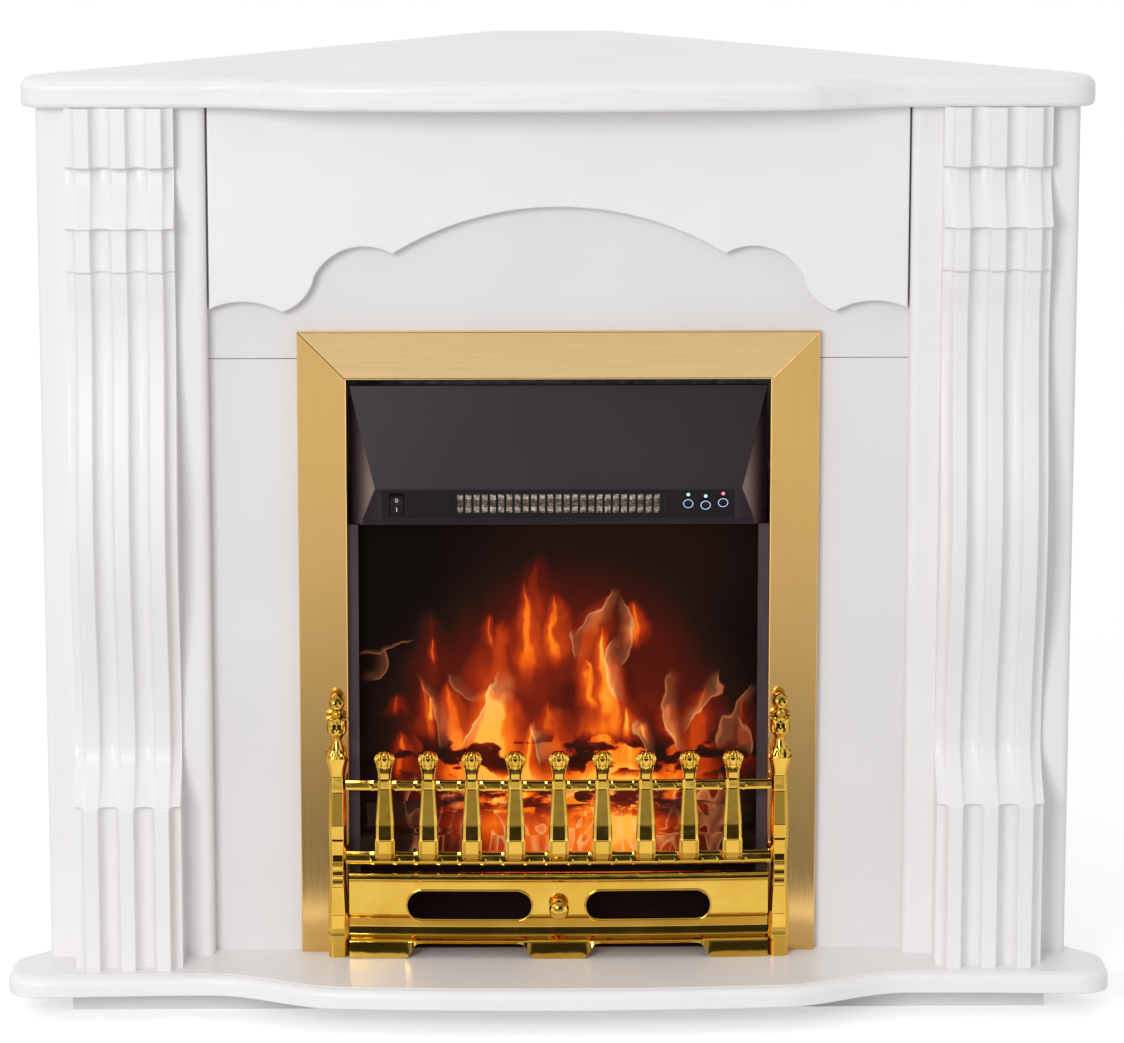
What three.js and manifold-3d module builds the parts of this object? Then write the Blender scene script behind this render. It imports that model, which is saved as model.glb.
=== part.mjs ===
// Corner fireplace: a white moulded portal that stands across a room corner, with a brass-trimmed electric fire
// in its opening and a cast brass fret before it. Millimetres, +Z up, front towards -Y, floor at Z = 0.
// Pieces are drawn with Y = 0 on the front face of the plain panels and X = 0 in the middle, and the whole is
// moved at the end so that the origin lies under the middle of its box.
import * as THREE from "three";
import { ConvexGeometry } from "three/addons/geometries/ConvexGeometry.js";
import { mergeVertices } from "three/addons/utils/BufferGeometryUtils.js";
import Module from "manifold-3d";

// ---- Driving dimensions: the electric fire's trim, which the rest is set out from ----
const TRIM_H = 622; // above the hearth plate
const TRIM_HALF = 254;
const TRIM_W = 48;
const TRIM_T = 10;
const TRIM_EDGE = 1.5;
const TRIM_LIP = 3; // bevel round the inner opening
const TRIM_LAP = 28; // how far the trim covers the panels round the fire
const OPENING_HALF = TRIM_HALF - TRIM_W;
const OPENING_TOP = TRIM_H - TRIM_W;

// ---- Driving dimensions: the portal ----
const MANTEL_HALF = 516;
const MANTEL_T = 28;
const MANTEL_NOSE = 6; // the mantel's wall corners stand this far before the panels
const MANTEL_END = 37; // front edge over the consoles, measured from those corners
const MANTEL_SWELL = 43; // the middle's reach beyond that edge
const WALL_REACH = MANTEL_HALF - MANTEL_NOSE; // x + y on the mantel's wall edges
const CORNER_HALF = 60; // half the cut-off back corner
const HEARTH_OVERHANG = 23;
const HEARTH_HALF = MANTEL_HALF + HEARTH_OVERHANG;
const HEARTH_T = 20;
const HEARTH_END = 56;
const HEARTH_SWELL = 55;
const HEARTH_LOBE_FLARE = 6;
const HEARTH_WALL_GAP = 8; // the plate stops this much short of the walls
const PLINTH_H = 25;
const PLINTH_INSET = 61;
const PLINTH_FRONT = 54; // how far the plinth's face stands before the panels
const COLUMN_H = 843; // from the hearth plate to the mantel
const CROWN = 9; // how much the bowed middle falls off towards its ends
const SWEEP_IN = 212; // the S-curve of both front edges runs from here ...
const SWEEP_OUT = 340; // ... to here
const CORNER_ROUND = 34; // round of both plates' front corners
const SHOULDER_R = 9; // round of both plates' upper edge
const SHOULDER_STEP = 0.6; // fine step at the top of that round
const MANTEL_UNDER_R = 5;
const HEARTH_UNDER_R = 1.5;

const BOARD_T = 16;
const PILASTER_T = 22;
const PILASTER_W = 162;
const PILASTER_INSET = 14; // from the mantel's ends to the pilaster boards
const PILASTER_EDGE_R = 8;
const PANEL_INSET = 14; // the panels end this far inside the pilaster boards' outer edges
const CASE_ROOM = 2; // from the fire's case up to the upper panel
const NICHE_ROOM = 6; // from the case to the side panels
const SEAM_GAP = 0.8;
const FRIEZE_GAP = 2; // dark joint between frieze board and pilaster boards
const CUSP_OUT = 14; // the frieze's outer cusps lie this far outside the trim ...
const CUSP_UP = 20; // ... and this far above it
// The frieze's lower edge, in from its outer cusps and up from them
const ARCH_IN = 107;
const ARCH_END_RISE = 56.5;
const ARCH_RISE = 102;
const EAR_IN = 74;
const EAR_RISE = 63.5;
const OGEE_IN = 32;
const OGEE_RISE = 35;
const OGEE_HOLLOW = 3;
const WING_RISE = 10;
const WING_END_RISE = 3;
const CHEEK_ROOM = 30; // from the niche to the cheek boards behind the panels
const CHEEK_DEPTH = 184;

const CONSOLE_RIB = 15;
const CONSOLE_FLUTE = 19.5;
const CONSOLE_COVE = 10;
const CONSOLE_RIBS = 3;
// Face of a console from the mantel down: [depth below the mantel, reach before the pilaster board,
// flute depth, steps down from the station before, shape of that stretch]
const CONSOLE_FACE = [
  [0, 28, 11, 0, "straight"],
  [58, 28, 11, 1, "straight"],
  [58, 12, 6, 1, "straight"],
  [115, 38, 4, 5, "cove"],
  [115, 34, 12, 1, "straight"],
  [157, 34, 12, 1, "straight"],
  [157, 29, 10, 1, "straight"],
  [205, 24, 11, 3, "ogee"],
  [415, 48, 14, 6, "ogee"],
  [625, 16, 9, 6, "ogee"],
  [680, 52, 3, 6, "cove"],
  [680, 54, 14, 1, "straight"],
  [COLUMN_H, 54, 14, 1, "straight"],
];

// ---- Driving dimensions: the electric fire, heights above the hearth plate ----
const MITRE_GAP = 0.3;
const SLIP = 0.3; // clearance between pieces that only touch
const SHEET = 1.5;
const CASE_DEPTH = 150;
const SIDE_STRIP = 10; // front flanges of the case, seen beside the flame picture
const SCREEN_AT = 22;
const SCREEN_T = 3;
const HOOD_EASE = 2; // from the hood to the trim
const HOOD_DROP = 7; // from the trim down to the top of the sloping face
const HOOD_FALL = 99; // from there to the ridge
const RIDGE_REACH = 16; // how far the hood's ridge stands before the panels
const RIDGE_TAPER = 25; // the ridge is this much shorter at each end
const FASCIA_RISE = 33;
const FASCIA_FOOT_REACH = 4;
const FASCIA_TAPER = 12.5;
const LIP_H = 5; // turned lip under the fascia
const HOOD_BACK = 8.5;
const HOOD_SHEET = 2.5;
const FLANGE_DROP = 3; // from the case's top to the hood's flange
const FASCIA_RIM = 2;
const FASCIA_END = 7; // from the fascia's window to the ridge's end
const FASCIA_T = 2;
const CONTROLS_W = 68.5; // length of each control plate beside the grille
const GRILLE_BORDER = 2;
const GRILLE_PITCH = 8;
const GRILLE_BAR = 2.6;
const SWITCH_INSET = 14;
const SWITCH_W = 13.4;
const SWITCH_H = 22.4;
const SWITCH_EASE = 2; // the hole's extra height, for the rocker's swing
const SWITCH_PIVOT = 3.5; // depth of the rocker's pin behind the fascia
const SWITCH_BACK = 3; // depth of the rocker's end faces
const SWITCH_TILT = 6; // degrees either way
const BUTTON_R = 5.4;
const BUTTON_STAND = 1.6;
const BUTTON_BODY = 5;
const BUTTON_END = 11.5; // from the last button to the window's end
const BUTTON_PITCH = 17;
const BUTTON_RISE = [1.2, -0.6, 2.2]; // above the fascia's middle line
const PILOT_RISE = 9.4; // a pilot light sits this far above its button
const PILOT_R = 1.7;
const HOLE_EASE = 0.5;

const HEATER_MARGIN = 3.5; // the heater is this much shorter than the grille at each end
const HEATER_AT = [9, 24];
const HEATER_FOOT = 3; // above the fascia's foot
const HEATER_DROP = 1; // below the ridge
const HEATER_FINS = 24;
const HEATER_FIN = 4;
const DUCT_MARGIN = 6;
const DUCT_FRONT = 24.5;
const FAN_DEPTH = 108;
const FAN_R = 25;
const FAN_MARGIN = 8; // from the wheel's end discs to the duct's end plates
const FAN_DISC = 2;
const FAN_BLADES = 12;
const BLADE_T = 1.2;
const DUCT_ROOM = 33; // from the blower's axis to the duct's walls
const SHAFT_R = 3;
const SHAFT_EASE = 0.15;
const FAN_MOTOR = [24, 40]; // radius and length
const SPINDLE_AT = [78, 120];
const SPINDLE_FLAGS = 8;
const FLAG_SIZE = [26, 34, 1.2];
const FLAG_PITCH = 44;
const SPINDLE_MOTOR = [17, 24];
const BUSH_R = 7;
const BUSH_L = 8;
const BED_Z = [84, 114]; // ember bed that the logs lie on
const BED_FRONT = 4;
const BED_MARGIN = 2;
// Moulded logs on the ember bed: [x from, x to, height from, height to, radius]
const LOGS = [
  [-190, -66, 124, 140, 16],
  [-104, 24, 122, 116, 16],
  [-22, 100, 132, 122, 17],
  [72, 190, 120, 142, 16],
  [-128, -8, 138, 158, 13],
  [18, 134, 160, 140, 13],
];
const LIGHT_BOARD_HALF = 150;
const LIGHT_BOARD_Y = [30, 62];
const LIGHT_BOARD_Z = 40;
const STAND_OFF = 6;
const CONTROL_BOARD_X = [-196, -126];
const CONTROL_BOARD_Z = [250, 370];
const GLAND_AT = [170, 60];
const GLAND_HOLE_R = 8;

// ---- Driving dimensions: the fret and the ash-pan cover, heights above the hearth plate ----
const FRET_BACK = 12; // back of the posts, before the panels
const POST_OUT = 11.5; // the posts' middles stand this far outside the trim's opening
const POST_DEPTH = 20;
const FRET_BOW = 6;
const RAIL_DEPTH = 6;
const RAIL_SEAT = 8.3; // the rails' ends lie this far from the posts' middles
const TOP_RAIL = [168.5, 178.5];
const LOW_RAIL = [93.5, 106.5];
const BARS = 9;
const END_BAR_GAP = 46.7; // from a post's middle to the nearest bar's
// Cast bar: [height, width, thickness, lean towards the room]. It lies against both rails.
const BAR_SHAPE = [
  [99.5, 16, 5, 2.5],
  [102, 19, 7, 3.5],
  [107, 19.2, 8, 4],
  [120, 19.2, 7, 6.5],
  [136, 18.4, 6, 6.5],
  [158, 15.2, 6, 4.5],
  [167, 13.8, 6, 3],
  [180, 12.4, 6, 3],
  [187, 12.8, 6.5, 3.8],
  [197, 16.4, 8, 5],
  [203.5, 19.6, 9, 6],
  [207.5, 16, 8, 6.5],
  [209.5, 9, 4, 6.5],
];
// Post: [height, width, depth]
const POST_SHAPE = [
  [0, 19.2, 19],
  [16, 19.2, 19],
  [17.5, 21.5, 20],
  [40, 21.5, 20],
  [74, 15.8, 16],
  [93, 15.6, 15],
  [107, 16, 16],
  [122, 17.5, 19],
  [134, 17.5, 18],
  [168, 15.8, 14],
  [182.5, 14.7, 12],
  [193.5, 18.3, 16],
  [201.3, 23, 20],
];
// Urn finial: [radius, height]
const FINIAL_SHAPE = [
  [0, 201.3],
  [9.6, 201.3],
  [9.4, 204.5],
  [6.6, 210],
  [4.6, 217],
  [5, 220.5],
  [8.4, 226],
  [9.6, 231],
  [9.7, 238],
  [10, 240],
  [8, 241.5],
  [5.2, 246],
  [4.6, 249],
  [7, 252.5],
  [7.8, 257],
  [6.6, 262],
  [3, 265],
  [0, 265.6],
];
// Ash-pan cover, front face from the top down and back face from the foot up: [reach before the panels,
// height]
const COVER_FRONT = [
  [28, 87],
  [33, 86],
  [33, 79.5],
  [30, 78],
  [30, 44],
  [26, 40],
  [22.5, 31],
  [23.5, 22],
  [31, 17],
  [33, 0],
];
const COVER_BACK = [
  [28, 0],
  [27, 14],
  [19, 20],
  [18, 31],
  [22, 42],
  [25, 46],
  [25, 87],
];
const COVER_EASE = 11.1; // from a post's middle to the end of the ash-pan cover
const SLOT_AT = 88;
const SLOT_L = 123;
const SLOT_H = 30;
const SLOT_MID = 53.5;
const SKIRT_CUT_H = 15.5;
const SKIRT_CUT_SLOPE = 9;
const KNOB_SHAPE = [
  [0, 0],
  [7.5, 0],
  [8, 2],
  [5, 4],
  [4.2, 7],
  [8.6, 10],
  [10, 14],
  [8.2, 18],
  [4, 20.5],
  [0, 21],
];
const CURVE_STEPS = 8;
const ROUND_SIDES = 16;

// Heights and places that follow from them
const HEARTH_TOP = PLINTH_H + HEARTH_T;
const MANTEL_LOW = HEARTH_TOP + COLUMN_H;
const WALL_CORNER = WALL_REACH - CORNER_HALF;
const MANTEL_SIDE = MANTEL_NOSE + MANTEL_END;
const HEARTH_REACH = WALL_REACH - HEARTH_WALL_GAP;
const HEARTH_LOBE = HEARTH_HALF - HEARTH_REACH + HEARTH_END;
const HEARTH_BOW = HEARTH_LOBE + HEARTH_SWELL;
const PLINTH_HALF = HEARTH_HALF - PLINTH_INSET;
const PILASTER_OUT = MANTEL_HALF - PILASTER_INSET;
const PILASTER_IN = PILASTER_OUT - PILASTER_W;
const PILASTER_MID = (PILASTER_IN + PILASTER_OUT) / 2;
const PANEL_HALF = PILASTER_OUT - PANEL_INSET;
const CONSOLE_W = CONSOLE_RIBS * CONSOLE_RIB + (CONSOLE_RIBS - 1) * CONSOLE_FLUTE + 2 * CONSOLE_COVE;
const SEAM_H = TRIM_H - TRIM_LAP;
const CASE_H = SEAM_H - CASE_ROOM;
const CASE_HALF = TRIM_HALF - TRIM_LAP;
const NICHE_HALF = CASE_HALF + NICHE_ROOM;
const CHEEK_AT = NICHE_HALF + CHEEK_ROOM;
const SCREEN_HALF = OPENING_HALF - SIDE_STRIP;
const HOOD_HALF = OPENING_HALF - HOOD_EASE;
const HOOD_TOP = OPENING_TOP - HOOD_DROP;
const RIDGE_H = HOOD_TOP - HOOD_FALL;
const FASCIA_FOOT_H = RIDGE_H - FASCIA_RISE;
const HOOD_LOW = FASCIA_FOOT_H - LIP_H;
const FASCIA_HALF = HOOD_HALF - RIDGE_TAPER - FASCIA_END;
const GRILLE_HALF = FASCIA_HALF - CONTROLS_W;
const BUTTON_AT = BUTTON_RISE.map((rise, i) => {
  return [FASCIA_HALF - BUTTON_END - (BUTTON_RISE.length - 1 - i) * BUTTON_PITCH, rise];
});
const HEATER_HALF = GRILLE_HALF - HEATER_MARGIN;
const HEATER_Z = [FASCIA_FOOT_H + HEATER_FOOT, RIDGE_H - HEATER_DROP];
const DUCT_HALF = HEATER_HALF + DUCT_MARGIN;
const FAN_HALF = DUCT_HALF - FAN_MARGIN;
const FAN_AT = [FAN_DEPTH, (HEATER_Z[0] + HEATER_Z[1]) / 2];
const POST_AT = OPENING_HALF + POST_OUT;
const BAR_PITCH = (2 * (POST_AT - END_BAR_GAP)) / (BARS - 1);
const COVER_HALF = POST_AT - COVER_EASE;

const FINISHES = {
  film: { color: 0xf2f0f0, roughness: 0.38, metalness: 0 },
  fibreboard: { color: 0xc9b79c, roughness: 0.85, metalness: 0 },
  satinBrass: { color: 0xc8a464, roughness: 0.34, metalness: 1 },
  polishedBrass: { color: 0xd9a93a, roughness: 0.12, metalness: 1 },
  blackEnamel: { color: 0x2c242b, roughness: 0.4, metalness: 0.2 },
  blackPlastic: { color: 0x161417, roughness: 0.3, metalness: 0 },
  galvanised: { color: 0xa9adb0, roughness: 0.45, metalness: 0.9 },
  heaterMetal: { color: 0x9a9894, roughness: 0.4, metalness: 0.9 },
  screen: { color: 0x1a0d08, roughness: 0.25, metalness: 0 },
  ember: { color: 0x3a1c10, roughness: 0.9, metalness: 0 },
  board: { color: 0x1f5b38, roughness: 0.6, metalness: 0 },
  lens: { color: 0xb8c8e6, roughness: 0.2, metalness: 0 },
};

const fireplace = new THREE.Group();

// Adds one named piece with a material of its own.
function piece(name, geometry, finish, parent = fireplace) {
  const mesh = new THREE.Mesh(geometry, new THREE.MeshStandardMaterial(FINISHES[finish]));
  mesh.name = name;
  parent.add(mesh);
  return mesh;
}

// ---- Shapes ----

// Rectangular block between exact limits along X, Y and Z.
function block([x0, x1], [y0, y1], [z0, z1]) {
  const geometry = new THREE.BoxGeometry(1, 1, 1);
  const at = geometry.attributes.position;
  for (let i = 0; i < at.count; i++) {
    at.setXYZ(i, at.getX(i) < 0 ? x0 : x1, at.getY(i) < 0 ? y0 : y1, at.getZ(i) < 0 ? z0 : z1);
  }
  return geometry;
}

// Extrudes a flat outline; place(u, v, far) gives the corner's position on the near or the far side.
function extruded(shape, place) {
  const settings = { depth: 1, bevelEnabled: false, curveSegments: CURVE_STEPS };
  const geometry = new THREE.ExtrudeGeometry(shape, settings);
  const at = geometry.attributes.position;
  for (let i = 0; i < at.count; i++) at.setXYZ(i, ...place(at.getX(i), at.getY(i), at.getZ(i) > 0.5));
  return geometry;
}
const upright = (shape, back, front) => extruded(shape, (u, v, far) => [u, far ? front : back, v]);
const flatwise = (shape, low, high) => extruded(shape, (u, v, far) => [u, v, far ? high : low]);
const lengthwise = (shape, from, to) => extruded(shape, (u, v, far) => [far ? to : from, u, v]);

const polygon = (points) => new THREE.Shape(points.map(([u, v]) => new THREE.Vector2(u, v)));
const rectangle = (u, v, width, height) =>
  polygon([
    [u - width / 2, v - height / 2],
    [u + width / 2, v - height / 2],
    [u + width / 2, v + height / 2],
    [u - width / 2, v + height / 2],
  ]);

// Closed solid through rings of equally many points. Each ring runs counter-clockwise as seen from the last
// ring's side, and flat gives the two coordinates in which its end caps are filled.
function loft(rings, flat = (p) => new THREE.Vector2(p.x, p.y)) {
  const count = rings[0].length;
  const index = [];
  for (let r = 0; r < rings.length - 1; r++) {
    for (let i = 0; i < count; i++) {
      const a = r * count + i;
      const b = r * count + ((i + 1) % count);
      index.push(a, b, b + count, a, b + count, a + count);
    }
  }
  const first = THREE.ShapeUtils.triangulateShape(rings[0].map(flat), []);
  const last = THREE.ShapeUtils.triangulateShape(rings.at(-1).map(flat), []);
  const top = (rings.length - 1) * count;
  for (const [a, b, c] of first) index.push(c, b, a);
  for (const [a, b, c] of last) index.push(top + a, top + b, top + c);
  const geometry = new THREE.BufferGeometry().setFromPoints(rings.flat());
  geometry.setIndex(index);
  return geometry;
}
const acrossX = (p) => new THREE.Vector2(p.y, p.z);

// Turned piece: profile of [radius, height] about Z, moved to a place.
function turned(profile, place = new THREE.Vector3(), sides = ROUND_SIDES) {
  const points = profile.map(([radius, height]) => new THREE.Vector2(radius, height));
  const geometry = new THREE.LatheGeometry(points, sides);
  geometry.rotateX(Math.PI / 2);
  return geometry.translate(place.x, place.y, place.z);
}

// Round rod along X between two ends, with its middle line at a depth and a height.
function rodX(radius, [from, to], [depth, height], sides = ROUND_SIDES) {
  const geometry = new THREE.CylinderGeometry(radius, radius, to - from, sides);
  geometry.rotateZ(Math.PI / 2);
  return geometry.translate((from + to) / 2, depth, height);
}

// Round rod along Y.
function rodY(radius, [from, to], [x, height], sides = ROUND_SIDES) {
  const geometry = new THREE.CylinderGeometry(radius, radius, to - from, sides);
  return geometry.translate(x, (from + to) / 2, height);
}

// ---- Joining and cutting ----
const wasm = await Module();
wasm.setup();

function asSolid(geometry) {
  const bare = new THREE.BufferGeometry().setAttribute("position", geometry.getAttribute("position"));
  bare.setIndex(geometry.index);
  const merged = mergeVertices(bare, 1e-4);
  const triVerts = new Uint32Array(merged.index.array);
  const vertProperties = merged.attributes.position.array;
  return new wasm.Manifold(new wasm.Mesh({ numProp: 3, vertProperties, triVerts }));
}

function asGeometry(solid) {
  const { vertProperties, triVerts } = solid.getMesh();
  const geometry = new THREE.BufferGeometry();
  geometry.setAttribute("position", new THREE.BufferAttribute(vertProperties, 3));
  return geometry.setIndex(new THREE.BufferAttribute(triVerts, 1));
}

const joined = (...pieces) => asGeometry(pieces.map(asSolid).reduce((all, next) => all.add(next)));
const cut = (body, ...tools) =>
  asGeometry(tools.map(asSolid).reduce((left, tool) => left.subtract(tool), asSolid(body)));

// ---- Mantel shelf and hearth plate: bowed boards with a moulded front edge ----

// Front edge at x: a crowned bow in the middle that sweeps back to the sides in an S-curve.
function bowedFront(x, bow, side) {
  const sweep = THREE.MathUtils.clamp((x - SWEEP_IN) / (SWEEP_OUT - SWEEP_IN), 0, 1);
  const crown = bow - CROWN * Math.min(1, x / SWEEP_IN) ** 2;
  return side + (crown - side) * (0.5 + 0.5 * Math.cos(Math.PI * sweep));
}

// Outline of a board that fits the room corner, counter-clockwise from the middle of its front edge.
function cornerBoard(half, bow, side, flare, wallReach) {
  const straight = half - CORNER_ROUND;
  const stops = [0, 1 / 3, 2 / 3, 1].map((share) => share * SWEEP_IN);
  for (let step = 1; step <= CURVE_STEPS; step++) {
    stops.push(SWEEP_IN + ((SWEEP_OUT - SWEEP_IN) * step) / CURVE_STEPS);
  }
  for (const share of [1 / 3, 2 / 3, 1]) stops.push(SWEEP_OUT + (straight - SWEEP_OUT) * share);
  const front = stops.map((x) => {
    const lobe = Math.max(0, (x - SWEEP_OUT) / (straight - SWEEP_OUT));
    return new THREE.Vector2(x, -bowedFront(x, bow, side) - flare * lobe ** 2);
  });
  const path = new THREE.Path();
  const from = front.at(-1);
  path.moveTo(from.x, from.y);
  path.quadraticCurveTo(half, from.y, half, from.y + CORNER_ROUND);
  path.lineTo(half, wallReach - half);
  path.lineTo(CORNER_HALF, wallReach - CORNER_HALF);
  const right = [...front.slice(0, -1), ...path.getPoints(CURVE_STEPS - 2)];
  const left = right.slice(1).reverse();
  return [...right, ...left.map((p) => new THREE.Vector2(-p.x, p.y))];
}

// Board whose edge follows profile, a list of [inset, height] from the underside up. Its wall edges stay
// square, so the moulding runs out along the wall line.
function mouldedBoard(outline, low, profile, wallReach) {
  const inward = outline.map((p, i) => {
    const before = outline.at(i - 1);
    const after = outline[(i + 1) % outline.length];
    const along = after.clone().sub(before).normalize();
    const atWall = Math.abs(p.x) + p.y > wallReach - 0.01;
    if (!atWall) return new THREE.Vector2(-along.y, along.x);
    return Math.abs(p.x) > CORNER_HALF ? new THREE.Vector2(-Math.sign(p.x), 1) : new THREE.Vector2();
  });
  const ring = ([inset, height]) =>
    outline.map((p, i) => {
      return new THREE.Vector3(p.x + inward[i].x * inset, p.y + inward[i].y * inset, low + height);
    });
  return loft(profile.map(ring));
}

// Quarter round of an edge, from start to end angle in degrees, as [inset, height].
function roundEdge(radius, height, from, to, steps) {
  return Array.from({ length: steps + 1 }, (_, i) => {
    const angle = THREE.MathUtils.degToRad(from + ((to - from) * i) / steps);
    return [radius * (1 - Math.cos(angle)), height + radius * Math.sin(angle)];
  });
}

// Edge of a board: rounded below, upright, then a shoulder that ends in a fine step.
function boardEdge(thickness, underRound) {
  const shoulder = thickness - SHOULDER_STEP - SHOULDER_R;
  return [
    ...roundEdge(underRound, underRound, -90, 0, 2),
    ...roundEdge(SHOULDER_R, shoulder, 0, 90, 4),
    [SHOULDER_R + SHOULDER_STEP, thickness],
  ];
}

function makePlates() {
  const mantel = cornerBoard(MANTEL_HALF, MANTEL_SIDE + MANTEL_SWELL, MANTEL_SIDE, 0, WALL_REACH);
  const mantelEdge = boardEdge(MANTEL_T, MANTEL_UNDER_R);
  piece("mantel_shelf", mouldedBoard(mantel, MANTEL_LOW, mantelEdge, WALL_REACH), "film");
  const hearth = cornerBoard(HEARTH_HALF, HEARTH_BOW, HEARTH_LOBE, HEARTH_LOBE_FLARE, HEARTH_REACH);
  const hearthEdge = boardEdge(HEARTH_T, HEARTH_UNDER_R);
  piece("hearth_plate", mouldedBoard(hearth, PLINTH_H, hearthEdge, HEARTH_REACH), "film");
}

// ---- Plinth: a front board and two side boards along the walls, set back under the hearth plate ----
function makePlinth() {
  const back = -PLINTH_FRONT + BOARD_T;
  const frontX = [-PLINTH_HALF, PLINTH_HALF];
  piece("plinth_front", block(frontX, [-PLINTH_FRONT, back], [0, PLINTH_H]), "film");
  const outer = PLINTH_HALF + back;
  const inner = outer - BOARD_T * Math.SQRT2;
  for (const [name, side] of [["left", -1], ["right", 1]]) {
    const plan = polygon([
      [side * (inner - back), back],
      [side * (outer - back), back],
      [side * CORNER_HALF, outer - CORNER_HALF],
      [side * CORNER_HALF, inner - CORNER_HALF],
    ]);
    piece(`plinth_${name}`, flatwise(plan, 0, PLINTH_H), "film");
  }
}

// ---- Boards of the front: pilaster boards, panels, frieze ----

// Frieze outline: level top and a cupid's-bow lower edge, with its arch and ears as arcs through three points.
function friezeShape() {
  const half = PILASTER_IN - FRIEZE_GAP;
  const cuspX = TRIM_HALF + CUSP_OUT;
  const cuspZ = HEARTH_TOP + TRIM_H + CUSP_UP;
  const at = (inward, rise) => [cuspX - inward, cuspZ + rise];
  const arcThrough = (from, mid, to) => {
    const [ax, ay, bx, by, cx, cy] = [...from, ...mid, ...to];
    const d = 2 * (ax * (by - cy) + bx * (cy - ay) + cx * (ay - by));
    const [a2, b2, c2] = [ax * ax + ay * ay, bx * bx + by * by, cx * cx + cy * cy];
    const x = (a2 * (by - cy) + b2 * (cy - ay) + c2 * (ay - by)) / d;
    const y = (a2 * (cx - bx) + b2 * (ax - cx) + c2 * (bx - ax)) / d;
    const start = Math.atan2(ay - y, ax - x);
    const sweep = Math.atan2(cy - y, cx - x) - start;
    const turn = THREE.MathUtils.euclideanModulo(sweep + Math.PI, 2 * Math.PI) - Math.PI;
    const radius = Math.hypot(ax - x, ay - y);
    return Array.from({ length: CURVE_STEPS }, (_, i) => {
      const angle = start + (turn * (i + 1)) / CURVE_STEPS;
      return [x + radius * Math.cos(angle), y + radius * Math.sin(angle)];
    });
  };
  const [archX, archZ] = at(ARCH_IN, ARCH_END_RISE);
  const ogee = at(OGEE_IN, OGEE_RISE);
  const bend = at(OGEE_IN / 2 + OGEE_HOLLOW, OGEE_RISE / 2 - OGEE_HOLLOW);
  const right = [
    ...arcThrough([-archX, archZ], [0, cuspZ + ARCH_RISE], [archX, archZ]).slice(CURVE_STEPS / 2 - 1),
    ...arcThrough([archX, archZ], at(EAR_IN, EAR_RISE), ogee),
    ...arcThrough(ogee, bend, at(0, 0)).filter((_, i) => i % 2),
    ...arcThrough(at(0, 0), [(cuspX + half) / 2, cuspZ + WING_RISE], [half, cuspZ + WING_END_RISE]),
    [half, MANTEL_LOW],
  ];
  const left = right.slice(1).reverse().map(([x, z]) => [-x, z]);
  return polygon([...right, ...left]);
}

function makeFrontBoards() {
  piece("frieze_board", upright(friezeShape(), 0, -BOARD_T), "film");
  const seam = HEARTH_TOP + SEAM_H;
  const upperX = [-PANEL_HALF, PANEL_HALF];
  piece("upper_panel", block(upperX, [0, BOARD_T], [seam + SEAM_GAP, MANTEL_LOW]), "film");
  for (const [name, side] of [["left", -1], ["right", 1]]) {
    const panelX = [side * NICHE_HALF, side * PANEL_HALF].sort((a, b) => a - b);
    piece(`side_panel_${name}`, block(panelX, [0, BOARD_T], [HEARTH_TOP, seam]), "film");
    const plan = new THREE.Path();
    const round = PILASTER_EDGE_R;
    plan.moveTo(-PILASTER_W / 2, 0);
    plan.lineTo(-PILASTER_W / 2, -PILASTER_T + round);
    plan.absarc(-PILASTER_W / 2 + round, -PILASTER_T + round, round, Math.PI, Math.PI * 1.5);
    plan.lineTo(PILASTER_W / 2 - round, -PILASTER_T);
    plan.absarc(PILASTER_W / 2 - round, -PILASTER_T + round, round, -Math.PI / 2, 0);
    plan.lineTo(PILASTER_W / 2, 0);
    const middle = side * PILASTER_MID;
    const outline = plan.getPoints(4).map((p) => [p.x + middle, p.y]);
    const away = ([x, y], [fromX, fromY]) => Math.hypot(x - fromX, y - fromY);
    const distinct = outline.filter((p, i) => !i || away(p, outline[i - 1]) > 0.01);
    piece(`pilaster_board_${name}`, flatwise(polygon(distinct), HEARTH_TOP, MANTEL_LOW), "film");
  }
}

// ---- Consoles: three ribs with elliptical flutes between them, over a swelling face ----

// Section of a console's face from left to right: [x, share of the flute depth].
function fluteSection() {
  const arc = (from, to, steps, mid, half) =>
    Array.from({ length: steps + 1 }, (_, i) => {
      const angle = THREE.MathUtils.degToRad(from + ((to - from) * i) / steps);
      return [mid - half * Math.cos(angle), Math.sin(angle)];
    });
  const left = -CONSOLE_W / 2;
  const section = arc(90, 180, 3, left, CONSOLE_COVE);
  let x = left + CONSOLE_COVE;
  for (let rib = 1; rib < CONSOLE_RIBS; rib++) {
    x += CONSOLE_RIB;
    section.push(...arc(0, 180, 6, x + CONSOLE_FLUTE / 2, CONSOLE_FLUTE / 2));
    x += CONSOLE_FLUTE;
  }
  section.push(...arc(0, 90, 3, -left, CONSOLE_COVE));
  return section;
}

// Stations of a console's face, with the curved stretches filled in: [depth below the mantel, reach,
// flute depth].
function consoleStations() {
  const easing = {
    straight: (t) => t,
    ogee: (t) => 0.5 - 0.5 * Math.cos(Math.PI * t),
    cove: (t) => 1 - Math.cos((Math.PI / 2) * t),
  };
  const stations = [];
  CONSOLE_FACE.forEach(([depth, reach, flute, steps, shape], i) => {
    const [depth0, reach0, flute0] = CONSOLE_FACE[Math.max(0, i - 1)];
    if (!steps) stations.push([depth, reach, flute]);
    for (let step = 1; step <= steps; step++) {
      const t = step / steps;
      const eased = easing[shape](t);
      stations.push([
        depth0 + (depth - depth0) * t,
        reach0 + (reach - reach0) * eased,
        flute0 + (flute - flute0) * t,
      ]);
    }
  });
  return stations;
}

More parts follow.
